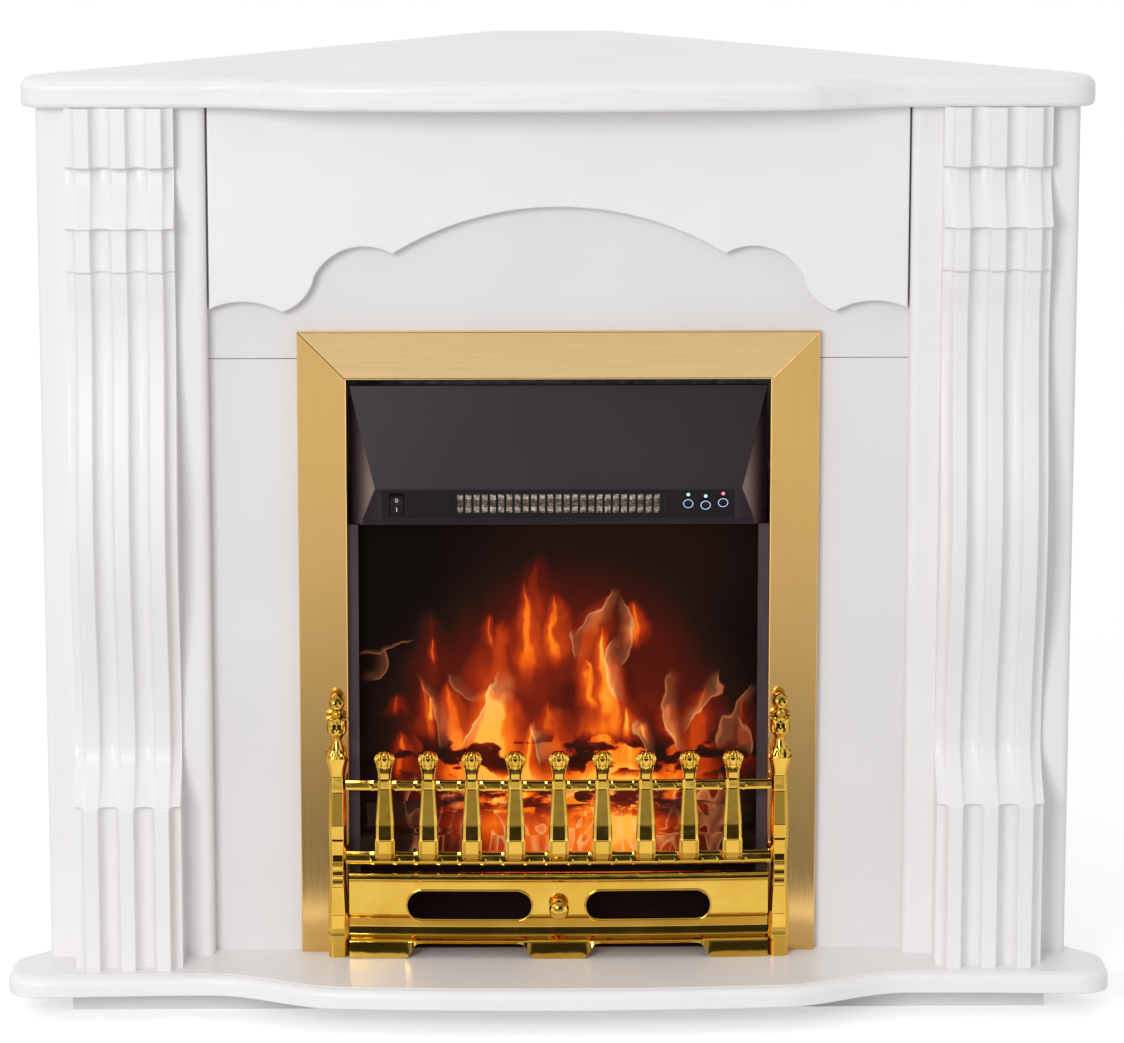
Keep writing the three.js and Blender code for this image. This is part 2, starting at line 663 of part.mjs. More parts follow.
function makeConsoles() {
  const section = fluteSection();
  for (const [name, side] of [["left", -1], ["right", 1]]) {
    const middle = side * PILASTER_MID;
    const rings = consoleStations().map(([depth, reach, flute]) => {
      const z = MANTEL_LOW - depth;
      const front = section.map(([x, share]) => {
        return new THREE.Vector3(middle + x, -PILASTER_T - reach + flute * share, z);
      });
      const back = [CONSOLE_W / 2, -CONSOLE_W / 2].map((x) => new THREE.Vector3(middle + x, -PILASTER_T, z));
      return [...front, ...back];
    });
    piece(`console_${name}`, loft(rings.reverse()), "film");
  }
}

// ---- Cheek boards behind the panels, which carry the mantel's back ----
function makeCheeks() {
  for (const [name, side] of [["left", -1], ["right", 1]]) {
    const x = [side * CHEEK_AT, side * (CHEEK_AT + BOARD_T)].sort((a, b) => a - b);
    piece(`cheek_${name}`, block(x, [BOARD_T, BOARD_T + CHEEK_DEPTH], [HEARTH_TOP, MANTEL_LOW]), "fibreboard");
  }
}

makePlates();
makePlinth();
makeFrontBoards();
makeConsoles();
makeCheeks();

// ---- Brass trim: three mitred bars ----
const fire = new THREE.Group();
fire.position.z = HEARTH_TOP;
fireplace.add(fire);

// Section of a trim bar: [distance out from the inner opening, reach before the panels], clockwise from
// its back.
const TRIM_SECTION = [
  [0, 0],
  [0, TRIM_T - TRIM_LIP],
  [TRIM_LIP, TRIM_T],
  [TRIM_W - TRIM_EDGE, TRIM_T],
  [TRIM_W, TRIM_T - TRIM_EDGE],
  [TRIM_W, 0],
];

function makeTrim() {
  for (const [name, side] of [["left", -1], ["right", 1]]) {
    const ring = (height) => {
      const points = TRIM_SECTION.map(([out, reach]) => {
        return new THREE.Vector3(side * (OPENING_HALF + out), -reach, height(out));
      });
      return side > 0 ? points : points.reverse();
    };
    piece(`trim_${name}`, loft([ring(() => 0), ring((out) => OPENING_TOP + out)]), "satinBrass", fire);
  }
  const end = (side) =>
    [...TRIM_SECTION].reverse().map(([out, reach]) => {
      return new THREE.Vector3(side * (OPENING_HALF + out - MITRE_GAP), -reach, OPENING_TOP + out);
    });
  piece("trim_top", loft([end(-1), end(1)], acrossX), "satinBrass", fire);
}

// ---- Sheet-steel case: two flanged sides, top, floor and back ----
const CASE_FRONT = SLIP;
const CASE_BACK = CASE_DEPTH - SHEET;
const CASE_IN = CASE_HALF - SHEET;

function makeCase() {
  for (const [name, side] of [["left", -1], ["right", 1]]) {
    const plan = polygon([
      [side * SCREEN_HALF, CASE_FRONT],
      [side * CASE_HALF, CASE_FRONT],
      [side * CASE_HALF, CASE_BACK],
      [side * CASE_IN, CASE_BACK],
      [side * CASE_IN, CASE_FRONT + SHEET],
      [side * SCREEN_HALF, CASE_FRONT + SHEET],
    ]);
    // The front flange stops under the hood.
    const notchX = [side * (SCREEN_HALF - 1), side * CASE_IN].sort((a, b) => a - b);
    const notch = block(notchX, [0, CASE_FRONT + SHEET], [HOOD_LOW - SLIP, CASE_H + 1]);
    let wall = cut(flatwise(plan, 0, CASE_H), notch);
    if (side > 0) {
      const bush = rodX(BUSH_R, [CASE_IN - BUSH_L, CASE_IN + SHEET / 2], SPINDLE_AT);
      const bore = rodX(SHAFT_R + SHAFT_EASE, [CASE_IN - BUSH_L - 1, CASE_IN - SLIP], SPINDLE_AT);
      wall = cut(joined(wall, bush), bore);
    }
    piece(`case_side_${name}`, wall, "blackEnamel", fire);
  }
  const wide = [-CASE_IN, CASE_IN];
  const deep = [CASE_FRONT + SHEET, CASE_BACK];
  piece("case_top", block(wide, deep, [CASE_H - SHEET, CASE_H]), "blackEnamel", fire);
  piece("case_floor", block(wide, deep, [0, SHEET]), "blackEnamel", fire);
  const back = block([-CASE_HALF, CASE_HALF], [CASE_BACK, CASE_DEPTH], [0, CASE_H]);
  const hole = rodY(GLAND_HOLE_R, [CASE_BACK - 1, CASE_DEPTH + 1], GLAND_AT);
  piece("case_back", cut(back, hole), "galvanised", fire);
}

// ---- Hood: a folded sheet with a forward ridge, side facets and a turned lip, open behind ----
function makeHood() {
  // Outline points of the folded sheet, moved in by its thickness for the hollow.
  const corners = (inset, back) => {
    const ridgeHalf = HOOD_HALF - RIDGE_TAPER;
    const footHalf = HOOD_HALF - FASCIA_TAPER;
    const face = [
      [HOOD_HALF - inset, CASE_FRONT + FASCIA_RIM + inset, HOOD_TOP - inset],
      [ridgeHalf - inset, -RIDGE_REACH + inset, RIDGE_H],
      [footHalf - inset, -FASCIA_FOOT_REACH + inset, FASCIA_FOOT_H + inset],
      [footHalf - inset, -FASCIA_FOOT_REACH + inset, HOOD_LOW + inset],
      [HOOD_HALF - inset, back, HOOD_LOW + inset],
      [HOOD_HALF - inset, back, HOOD_TOP - inset],
    ];
    return face.flatMap(([x, y, z]) => [new THREE.Vector3(x, y, z), new THREE.Vector3(-x, y, z)]);
  };
  const outer = new ConvexGeometry(corners(0, HOOD_BACK));
  const hollow = new ConvexGeometry(corners(HOOD_SHEET, HOOD_BACK + 2));
  const flangeX = [-CASE_IN + SLIP, CASE_IN - SLIP];
  const flange = block(flangeX, [HOOD_BACK - HOOD_SHEET, HOOD_BACK], [HOOD_LOW, CASE_H - FLANGE_DROP]);
  const window = rectangle(0, 0, 2 * FASCIA_HALF, FASCIA_H);
  const windowTool = upright(window, HOOD_SHEET * 3, -HOOD_SHEET * 2);
  windowTool.applyMatrix4(FASCIA_PLACE);
  piece("hood", cut(joined(outer, flange), hollow, windowTool), "blackEnamel", fire);
}

// ---- Fascia under the ridge, in one leaning plane: panels, grille, rocker switch, buttons, pilot lights ----
const FASCIA_RUN = Math.hypot(RIDGE_REACH - FASCIA_FOOT_REACH, RIDGE_H - FASCIA_FOOT_H);
const FASCIA_H = FASCIA_RUN - 2 * FASCIA_RIM;
const FASCIA_LEAN = Math.atan2(RIDGE_REACH - FASCIA_FOOT_REACH, RIDGE_H - FASCIA_FOOT_H);
const fascia = new THREE.Group();
fascia.position.set(0, -(RIDGE_REACH + FASCIA_FOOT_REACH) / 2, (RIDGE_H + FASCIA_FOOT_H) / 2);
fascia.rotation.x = FASCIA_LEAN;
fascia.updateMatrix();
fire.add(fascia);
const FASCIA_PLACE = fascia.matrix;

const PLATE_H = FASCIA_H - 2 * SLIP;

function roundHole([x, z], radius) {
  const hole = new THREE.Path();
  hole.absarc(x, z, radius, 0, Math.PI * 2);
  return hole;
}

function makeFascia() {
  const switchAt = SWITCH_INSET - FASCIA_HALF;
  const ends = [-FASCIA_HALF + SLIP, -GRILLE_HALF - SLIP, GRILLE_HALF + SLIP, FASCIA_HALF - SLIP];
  const leftPlate = rectangle((ends[0] + ends[1]) / 2, 0, ends[1] - ends[0], PLATE_H);
  const switchHole = rectangle(switchAt, 0, SWITCH_W + 2 * HOLE_EASE, SWITCH_H + SWITCH_EASE);
  leftPlate.holes.push(switchHole);
  piece("fascia_left", upright(leftPlate, FASCIA_T, 0), "blackPlastic", fascia);

  const rightPlate = rectangle((ends[2] + ends[3]) / 2, 0, ends[3] - ends[2], PLATE_H);
  const pilots = BUTTON_AT.map(([x, z]) => [x, z + PILOT_RISE]);
  rightPlate.holes.push(...BUTTON_AT.map((at) => roundHole(at, BUTTON_R + HOLE_EASE)));
  rightPlate.holes.push(...pilots.map((at) => roundHole(at, PILOT_R + SLIP)));
  piece("fascia_right", upright(rightPlate, FASCIA_T, 0), "blackPlastic", fascia);

  // Light guide of the pilot lights: one strip behind the fascia with three pips in its holes.
  const stripFrom = pilots[0][0] - 2 * PILOT_R;
  const stripTo = pilots.at(-1)[0] + 2 * PILOT_R;
  const stripLow = Math.max(...BUTTON_AT.map(([, z]) => z)) + BUTTON_R + HOLE_EASE * 3;
  const strip = block([stripFrom, stripTo], [FASCIA_T + SLIP, FASCIA_T * 2], [stripLow, PLATE_H / 2]);
  const pips = pilots.map((at) => rodY(PILOT_R, [-SLIP, FASCIA_T + 1], at, 10));
  piece("pilot_lights", joined(strip, ...pips), "lens", fascia);

  const slots = Math.floor((2 * (GRILLE_HALF - GRILLE_BORDER)) / GRILLE_PITCH);
  const slotH = PLATE_H - 4 * GRILLE_BORDER;
  const slotTools = Array.from({ length: slots }, (_, i) => {
    const x = (i - (slots - 1) / 2) * GRILLE_PITCH;
    return upright(rectangle(x, 0, GRILLE_PITCH - GRILLE_BAR, slotH), FASCIA_T + 1, -1);
  });
  const grille = upright(rectangle(0, 0, 2 * GRILLE_HALF, PLATE_H), FASCIA_T, 0);
  piece("air_grille", cut(grille, ...slotTools), "heaterMetal", fascia);
}

// Rocker: a half-round body on its pin, with a shallow V on its face, resting with its lower end pressed in.
function makeRocker() {
  const rocker = new THREE.Group();
  rocker.position.set(SWITCH_INSET - FASCIA_HALF, SWITCH_PIVOT, 0);
  rocker.rotation.x = THREE.MathUtils.degToRad(SWITCH_TILT);
  fascia.add(rocker);
  const half = SWITCH_H / 2;
  const rise = half * Math.tan(THREE.MathUtils.degToRad(SWITCH_TILT));
  const side = [
    [-SWITCH_PIVOT, 0],
    [-SWITCH_PIVOT - rise, -half],
    [-SWITCH_PIVOT + SWITCH_BACK, -half],
    [SWITCH_PIVOT, -half / 2],
    [SWITCH_PIVOT, half / 2],
    [-SWITCH_PIVOT + SWITCH_BACK, half],
    [-SWITCH_PIVOT - rise, half],
  ];
  piece("rocker_switch", lengthwise(polygon(side), -SWITCH_W / 2, SWITCH_W / 2), "blackPlastic", rocker);
}

// Push button: a cap in the fascia's hole with a wider collar behind it that keeps it in.
function makeButtons() {
  BUTTON_AT.forEach(([x, z], i) => {
    const cap = rodY(BUTTON_R, [-BUTTON_STAND, BUTTON_BODY], [x, z]);
    const collar = rodY(BUTTON_R + 2 * HOLE_EASE, [FASCIA_T + SLIP, FASCIA_T * 2], [x, z]);
    piece(`push_button_${i + 1}`, joined(cap, collar), "blackPlastic", fascia);
  });
}

// ---- Heater, blower and its duct ----
function makeBlower() {
  const fins = [block([-HEATER_HALF, HEATER_HALF], [HEATER_AT[0] + HEATER_FIN, HEATER_AT[1]], HEATER_Z)];
  for (let i = 0; i < HEATER_FINS; i++) {
    const pitch = (2 * HEATER_HALF) / HEATER_FINS;
    const x = -HEATER_HALF + pitch * (i + 0.3);
    fins.push(block([x, x + pitch * 0.4], [HEATER_AT[0], HEATER_AT[0] + HEATER_FIN + 1], HEATER_Z));
  }
  piece("heating_element", joined(...fins), "heaterMetal", fire);

  const [fanY, fanZ] = FAN_AT;
  const roof = fanZ + DUCT_ROOM;
  const floor = fanZ - DUCT_ROOM;
  const rear = CASE_BACK - SLIP;
  const [low, high] = HEATER_Z;
  const duct = polygon([
    [DUCT_FRONT, low],
    [fanY - FAN_R, floor],
    [rear, floor],
    [rear, roof],
    [fanY - FAN_R, roof],
    [DUCT_FRONT, high],
  ]);
  const hollow = polygon([
    [DUCT_FRONT - 1, low + SHEET],
    [DUCT_FRONT, low + SHEET],
    [fanY - FAN_R, floor + SHEET],
    [rear - SHEET, floor + SHEET],
    [rear - SHEET, roof - SHEET],
    [fanY - FAN_R, roof - SHEET],
    [DUCT_FRONT, high - SHEET],
    [DUCT_FRONT - 1, high - SHEET],
  ]);
  const shell = cut(
    lengthwise(duct, -DUCT_HALF, DUCT_HALF),
    lengthwise(hollow, -DUCT_HALF + SHEET, DUCT_HALF - SHEET),
    rodX(SHAFT_R + SHAFT_EASE, [-DUCT_HALF - 1, DUCT_HALF + 1], FAN_AT),
  );
  piece("blower_duct", shell, "galvanised", fire);

  const wheel = [rodX(SHAFT_R, [-DUCT_HALF, DUCT_HALF + FAN_MOTOR[1] / 2], FAN_AT)];
  for (const x of [-FAN_HALF, 0, FAN_HALF]) {
    wheel.push(rodX(FAN_R, [x - FAN_DISC / 2, x + FAN_DISC / 2], FAN_AT, 2 * FAN_BLADES));
  }
  for (let i = 0; i < FAN_BLADES; i++) {
    const blade = block([-FAN_HALF, FAN_HALF], [FAN_R * 0.72, FAN_R * 0.96], [-BLADE_T / 2, BLADE_T / 2]);
    blade.rotateX((i * 2 * Math.PI) / FAN_BLADES);
    wheel.push(blade.translate(0, fanY, fanZ));
  }
  piece("blower_wheel", joined(...wheel), "blackPlastic", fire);

  const [motorR, motorL] = FAN_MOTOR;
  const from = DUCT_HALF + SLIP;
  const bore = rodX(SHAFT_R + SHAFT_EASE, [from - 1, from + motorL / 2 + 2], FAN_AT);
  piece("blower_motor", cut(rodX(motorR, [from, from + motorL], FAN_AT), bore), "galvanised", fire);
}

// ---- Flame effect: screen, fuel bed, light board and a turning spindle of bright flags ----
function makeFlameEffect() {
  const wide = [-CASE_IN + SLIP, CASE_IN - SLIP];
  const screenZ = [SHEET, HOOD_LOW - SLIP];
  piece("flame_screen", block(wide, [SCREEN_AT, SCREEN_AT + SCREEN_T], screenZ), "screen", fire);

  const bedBack = SCREEN_AT - SLIP;
  const shelf = block(wide, [BED_FRONT, bedBack], BED_Z);
  const heap = LOGS.map(([x0, x1, z0, z1, radius]) => {
    const length = Math.hypot(x1 - x0, z1 - z0);
    const log = new THREE.CylinderGeometry(radius * 0.85, radius, length, 9);
    log.rotateZ(Math.PI / 2 + Math.atan2(z1 - z0, x1 - x0));
    return log.translate((x0 + x1) / 2, bedBack, (z0 + z1) / 2);
  });
  const bedHalf = SCREEN_HALF - BED_MARGIN;
  const room = block([-bedHalf, bedHalf], [BED_FRONT - 1, bedBack + 2 * TRIM_W], [0, CASE_H]);
  const front = block([-CASE_HALF, CASE_HALF], [bedBack, bedBack + 2 * TRIM_W], [0, CASE_H]);
  const bed = asSolid(joined(...heap)).intersect(asSolid(room)).subtract(asSolid(front));
  piece("fuel_bed", joined(shelf, asGeometry(bed)), "ember", fire);

  // The light board is an angle: its web stands on the floor and its plate lies level under the spindle.
  const boardX = [-LIGHT_BOARD_HALF, LIGHT_BOARD_HALF];
  const [boardFront, boardBack] = LIGHT_BOARD_Y;
  const web = block(boardX, [boardFront, boardFront + SHEET], [SHEET, LIGHT_BOARD_Z + SHEET / 2]);
  const plate = block(boardX, [boardFront, boardBack], [LIGHT_BOARD_Z, LIGHT_BOARD_Z + SHEET]);
  piece("light_board", joined(plate, web), "board", fire);

  const [motorR, motorL] = SPINDLE_MOTOR;
  const motorX = [-CASE_IN + SLIP, -CASE_IN + SLIP + motorL];
  const bore = rodX(SHAFT_R + SHAFT_EASE, [motorX[1] - motorL / 2, motorX[1] + 1], SPINDLE_AT);
  piece("spindle_motor", cut(rodX(motorR, motorX, SPINDLE_AT), bore), "galvanised", fire);

  const [flagL, flagW, flagT] = FLAG_SIZE;
  const shaftX = [motorX[1] - motorL / 2 + 1, CASE_IN - 2 * SLIP];
  const spindle = [rodX(SHAFT_R, shaftX, SPINDLE_AT)];
  for (let i = 0; i < SPINDLE_FLAGS; i++) {
    const x = (i - (SPINDLE_FLAGS - 1) / 2) * FLAG_PITCH;
    const flag = block([x - flagL / 2, x + flagL / 2], [-flagW / 2, flagW / 2], [-flagT / 2, flagT / 2]);
    flag.rotateX((i * Math.PI) / 3);
    spindle.push(flag.translate(0, ...SPINDLE_AT));
  }
  piece("flicker_spindle", joined(...spindle), "galvanised", fire);
}

// ---- Control board on stand-offs and the cord gland, both on the back plate ----
function makeWiring() {
  const [x0, x1] = CONTROL_BOARD_X;
  const [z0, z1] = CONTROL_BOARD_Z;
  const boardY = CASE_BACK - 2 * STAND_OFF;
  const posts = [x0 + STAND_OFF, x1 - STAND_OFF].flatMap((x) =>
    [z0 + STAND_OFF, z1 - STAND_OFF].map((z) => rodY(STAND_OFF / 2, [boardY, CASE_BACK], [x, z], 8)),
  );
  const plate = block([x0, x1], [boardY - SHEET, boardY + SHEET / 2], [z0, z1]);
  piece("control_board", joined(plate, ...posts), "board", fire);

  const shank = GLAND_HOLE_R - SLIP;
  const bore = GLAND_HOLE_R / 2;
  const profile = [
    [bore, -8],
    [shank + 4, -8],
    [shank + 4, -SHEET - SLIP],
    [shank, -SHEET - SLIP],
    [shank, SLIP],
    [shank + 4, SLIP],
    [shank + 4, 6],
    [shank, 8],
    [bore + 2, 20],
    [bore, 20],
    [bore, -8],
  ];
  const gland = turned(profile);
  gland.rotateX(-Math.PI / 2);
  piece("cord_gland", gland.translate(GLAND_AT[0], CASE_DEPTH, GLAND_AT[1]), "blackPlastic", fire);
}

makeTrim();
makeCase();
makeHood();
makeFascia();
makeRocker();
makeButtons();
makeBlower();
makeFlameEffect();
makeWiring();

// ---- Fret: rails, cast bars, posts and finials, bowed a little towards the room ----
const fret = new THREE.Group();
fret.position.z = HEARTH_TOP;
fireplace.add(fret);
const POST_MID = -FRET_BACK - POST_DEPTH / 2;
const RAIL_HALF = POST_AT - RAIL_SEAT;
const bowAt = (x) => FRET_BOW * (1 - (x / RAIL_HALF) ** 2);

// Eight-sided ring with its long sides flat, about a middle at depth y.
function barRing(x, y, z, width, depth) {
  const outline = [
    [0.5, -0.25],
    [0.5, 0.25],
    [0.32, 0.5],
    [-0.32, 0.5],
    [-0.5, 0.25],
    [-0.5, -0.25],
    [-0.32, -0.5],
    [0.32, -0.5],
  ];
  return outline.map(([u, v]) => new THREE.Vector3(x + u * width, y + v * depth, z));
}

function makeFret() {
  for (const [name, [low, high]] of [["low", LOW_RAIL], ["top", TOP_RAIL]]) {
    const stops = Array.from({ length: BARS }, (_, i) => RAIL_HALF * ((2 * i) / (BARS - 1) - 1));
    const rings = stops.map((x) => {
      const y = POST_MID - bowAt(x);
      const [mid, depth, rise] = [(low + high) / 2, RAIL_DEPTH / 2, (high - low) / 2];
      const outline = [
        [-1, -0.5],
        [-0.5, -1],
        [0.5, -1],
        [1, -0.5],
        [1, 0.5],
        [0.5, 1],
        [-0.5, 1],
        [-1, 0.5],
      ];
      return outline.map(([u, v]) => new THREE.Vector3(x, y + u * depth, mid + v * rise));
    });
    piece(`fret_rail_${name}`, loft(rings, acrossX), "polishedBrass", fret);
  }
  for (let i = 0; i < BARS; i++) {
    const x = (i - (BARS - 1) / 2) * BAR_PITCH;
    const bow = Math.max(bowAt(x + BAR_PITCH / 4), bowAt(x - BAR_PITCH / 4));
    const railFront = POST_MID - bow - RAIL_DEPTH / 2;
    const rings = BAR_SHAPE.map(([z, width, thick, lean]) => {
      return barRing(x, railFront - SLIP - Math.max(lean, thick / 2), z, width, thick);
    });
    piece(`fret_bar_${i + 1}`, loft(rings), "polishedBrass", fret);
  }
  for (const [name, side] of [["left", -1], ["right", 1]]) {
    const rings = POST_SHAPE.map(([z, width, depth]) => barRing(side * POST_AT, POST_MID, z, width, depth));
    piece(`fret_post_${name}`, loft(rings), "polishedBrass", fret);
    const place = new THREE.Vector3(side * POST_AT, POST_MID, 0);
    piece(`finial_${name}`, turned(FINIAL_SHAPE, place, 14), "polishedBrass", fret);
  }
}

// ---- Ash-pan cover: a bowed casting with two long slots, a cut-away skirt and a turned knob ----
function makeCover() {
  const stops = Array.from({ length: BARS }, (_, i) => COVER_HALF * ((2 * i) / (BARS - 1) - 1));
  const outline = [...COVER_FRONT, ...COVER_BACK];
  const rings = stops.map((x) => outline.map(([reach, z]) => new THREE.Vector3(x, -reach - bowAt(x), z)));
  const through = [-FRET_BACK, -FRET_BACK - 3 * POST_DEPTH];
  const tools = [-1, 1].flatMap((side) => {
    const x = side * SLOT_AT;
    const run = (SLOT_L - SLOT_H) / 2;
    const slot = new THREE.Shape();
    slot.absarc(x + run, SLOT_MID, SLOT_H / 2, -Math.PI / 2, Math.PI / 2);
    slot.absarc(x - run, SLOT_MID, SLOT_H / 2, Math.PI / 2, Math.PI * 1.5);
    const skirt = polygon([
      [x - SLOT_L / 2 - 1, -1],
      [x + SLOT_L / 2 + 1, -1],
      [x + SLOT_L / 2 - SKIRT_CUT_SLOPE, SKIRT_CUT_H],
      [x - SLOT_L / 2 + SKIRT_CUT_SLOPE, SKIRT_CUT_H],
    ]);
    return [upright(slot, ...through), upright(skirt, ...through)];
  });
  piece("ash_pan_cover", cut(loft(rings, acrossX), ...tools), "polishedBrass", fret);

  const face = COVER_FRONT[4][0] + bowAt(0);
  const knob = turned(KNOB_SHAPE, new THREE.Vector3(), 14);
  knob.rotateX(Math.PI / 2);
  piece("cover_knob", knob.translate(0, -face - SLIP, SLOT_MID), "polishedBrass", fret);
}

makeFret();
makeCover();

// The origin lies under the middle of the whole object's box.
fireplace.position.y = (HEARTH_BOW - WALL_CORNER) / 2;

export default fireplace;
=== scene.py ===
"""Corner fireplace in white film-faced board, with a brass-trimmed electric fire and a cast brass fret.

Every piece is worked out in millimetres: X to the right and Y to the back from the middle of the front
panels' face, and Z up from the floor. in_room() turns that into the part's own frame in metres.
"""

import math

import bmesh
import bpy
import numpy as np
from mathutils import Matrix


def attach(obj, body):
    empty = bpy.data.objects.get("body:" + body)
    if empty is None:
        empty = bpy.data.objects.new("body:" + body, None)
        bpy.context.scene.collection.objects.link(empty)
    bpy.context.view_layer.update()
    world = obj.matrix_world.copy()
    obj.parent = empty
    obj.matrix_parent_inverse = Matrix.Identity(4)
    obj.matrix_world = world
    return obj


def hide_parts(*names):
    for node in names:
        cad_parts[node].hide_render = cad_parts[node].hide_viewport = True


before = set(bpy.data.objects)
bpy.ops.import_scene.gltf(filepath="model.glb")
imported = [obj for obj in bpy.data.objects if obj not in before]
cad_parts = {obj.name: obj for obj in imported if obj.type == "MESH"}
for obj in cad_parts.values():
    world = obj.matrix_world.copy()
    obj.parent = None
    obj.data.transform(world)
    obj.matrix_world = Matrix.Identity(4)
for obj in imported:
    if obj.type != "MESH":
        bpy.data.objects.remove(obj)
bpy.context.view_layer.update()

# ---- Camera ----
# A long lens a little above the mantel's height, looking down on the hearth from the front, and shifted
# to the photograph's frame.
def placed(name, data):
    """A new object of this data, in the scene."""
    made = bpy.data.objects.new(name, data)
    bpy.context.scene.collection.objects.link(made)
    return made


camera_data = bpy.data.cameras.new("camera")
camera_data.lens = 150.21
camera_data.sensor_width = 36
camera_data.shift_x = 0.015
camera_data.shift_y = -0.08
camera = placed("camera", camera_data)
camera.location = (-0.0773, -4.651, 1.376)
camera.rotation_euler = (math.radians(90 - 10.194), 0, math.radians(-0.8195))
bpy.context.scene.camera = camera

# ---- Mantel shelf and hearth plate ----
# Two boards of the same family: a bowed front between round ends, 45-degree edges along the walls and
# a moulded edge that is rounded below and stepped above. Routed from fibreboard, wrapped in white film.
PANEL_Y = -151.0
HEARTH_TOP, MANTEL_LOW = 45.0, 888.0


def in_room(points):
    """Millimetres about the panels' face as metres in the part's frame: (x, y - 151, z) / 1000."""
    return (np.asarray(points, float) + (0, PANEL_Y, 0)) * 0.001


def joined(*parts):
    """Points whose coordinates are the parts: numbers or arrays, stretched to one shape."""
    return np.stack(np.broadcast_arrays(*parts), axis=-1)


def swept(grid, caps=True):
    """Quads between neighbours of grid[station, point], each station a closed ring. Caps fill both ends."""
    stations, count = grid.shape[:2]
    numbers = np.arange(stations * count).reshape(stations, count)
    across = np.concatenate((numbers, numbers[:, :1]), axis=1)
    corners = joined(across[:-1, :-1], across[:-1, 1:], across[1:, 1:], across[1:, :-1])
    faces = corners.reshape(-1, 4).tolist()
    if caps:
        faces += [numbers[0, ::-1].tolist(), numbers[-1].tolist()]
    return grid.reshape(-1, 3), faces


def blend(table, width, count):
    """Columns of a table against its first: straight between rows, then blurred by a bell of that width."""
    table = np.asarray(table, float)
    at = np.linspace(table[0, 0], table[-1, 0], count)
    step = at[1] - at[0]
    reach = int(3 * width / step) + 1
    bell = np.exp(-0.5 * (np.arange(-reach, reach + 1) * step / width) ** 2)
    bell /= bell.sum()
    rows = [np.interp(at, table[:, 0], column) for column in table[:, 1:].T]
    return at, *[np.convolve(np.pad(row, reach, mode="edge"), bell, "valid") for row in rows]


def face_out(mesh):
    """Closes the poles and turns every face outwards."""
    work = bmesh.new()
    work.from_mesh(mesh)
    bmesh.ops.remove_doubles(work, verts=work.verts, dist=2e-7)
    bmesh.ops.recalc_face_normals(work, faces=work.faces)
    work.to_mesh(mesh)
    work.free()


def apply_modifiers(piece):
    """Makes a piece's modifiers part of its mesh."""
    bpy.context.view_layer.update()
    shaped = piece.evaluated_get(bpy.context.evaluated_depsgraph_get())
    piece.data = bpy.data.meshes.new_from_object(shaped)
    piece.modifiers.clear()


def new_piece(name, points, faces, kinds):
    """An object in the scene from points in mm and faces with the numbers of their finishes."""
    mesh = bpy.data.meshes.new(name)
    mesh.from_pydata(in_room(points).tolist(), [], faces)
    mesh.polygons.foreach_set("material_index", kinds)
    face_out(mesh)
    return placed(name, mesh)


def make(name, shells, finishes, body, stands_for, crease, modifiers=()):
    """One finished piece from shells of (points in mm, faces, number of its finish), sharp above crease."""
    points, faces, kinds = [], [], []
    for shell_points, shell_faces, kind in shells:
        start = sum(len(block) for block in points)
        points.append(shell_points)
        faces += [[start + corner for corner in face] for face in shell_faces]
        kinds += [kind] * len(shell_faces)
    piece = new_piece(name, np.concatenate(points), faces, kinds)
    for finish in finishes:
        piece.data.materials.append(finish)
    for kind, settings in modifiers:
        modifier = piece.modifiers.new(kind.title(), kind)
        for key, value in settings.items():
            setattr(modifier, key, value)
    apply_modifiers(piece)
    piece.data.shade_smooth()
    piece.data.set_sharp_from_angle(angle=math.radians(crease))
    piece.modifiers.new("Flats", "WEIGHTED_NORMAL").keep_sharp = True
    apply_modifiers(piece)
    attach(piece, body)
    if stands_for:
        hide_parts(*stands_for)


def make_board(name, shell, look, stands_for, crease=40):
    """A piece of the portal, from one shell of (points, faces)."""
    make(name, [(*shell, 0)], [look], "surround", [stands_for], crease)


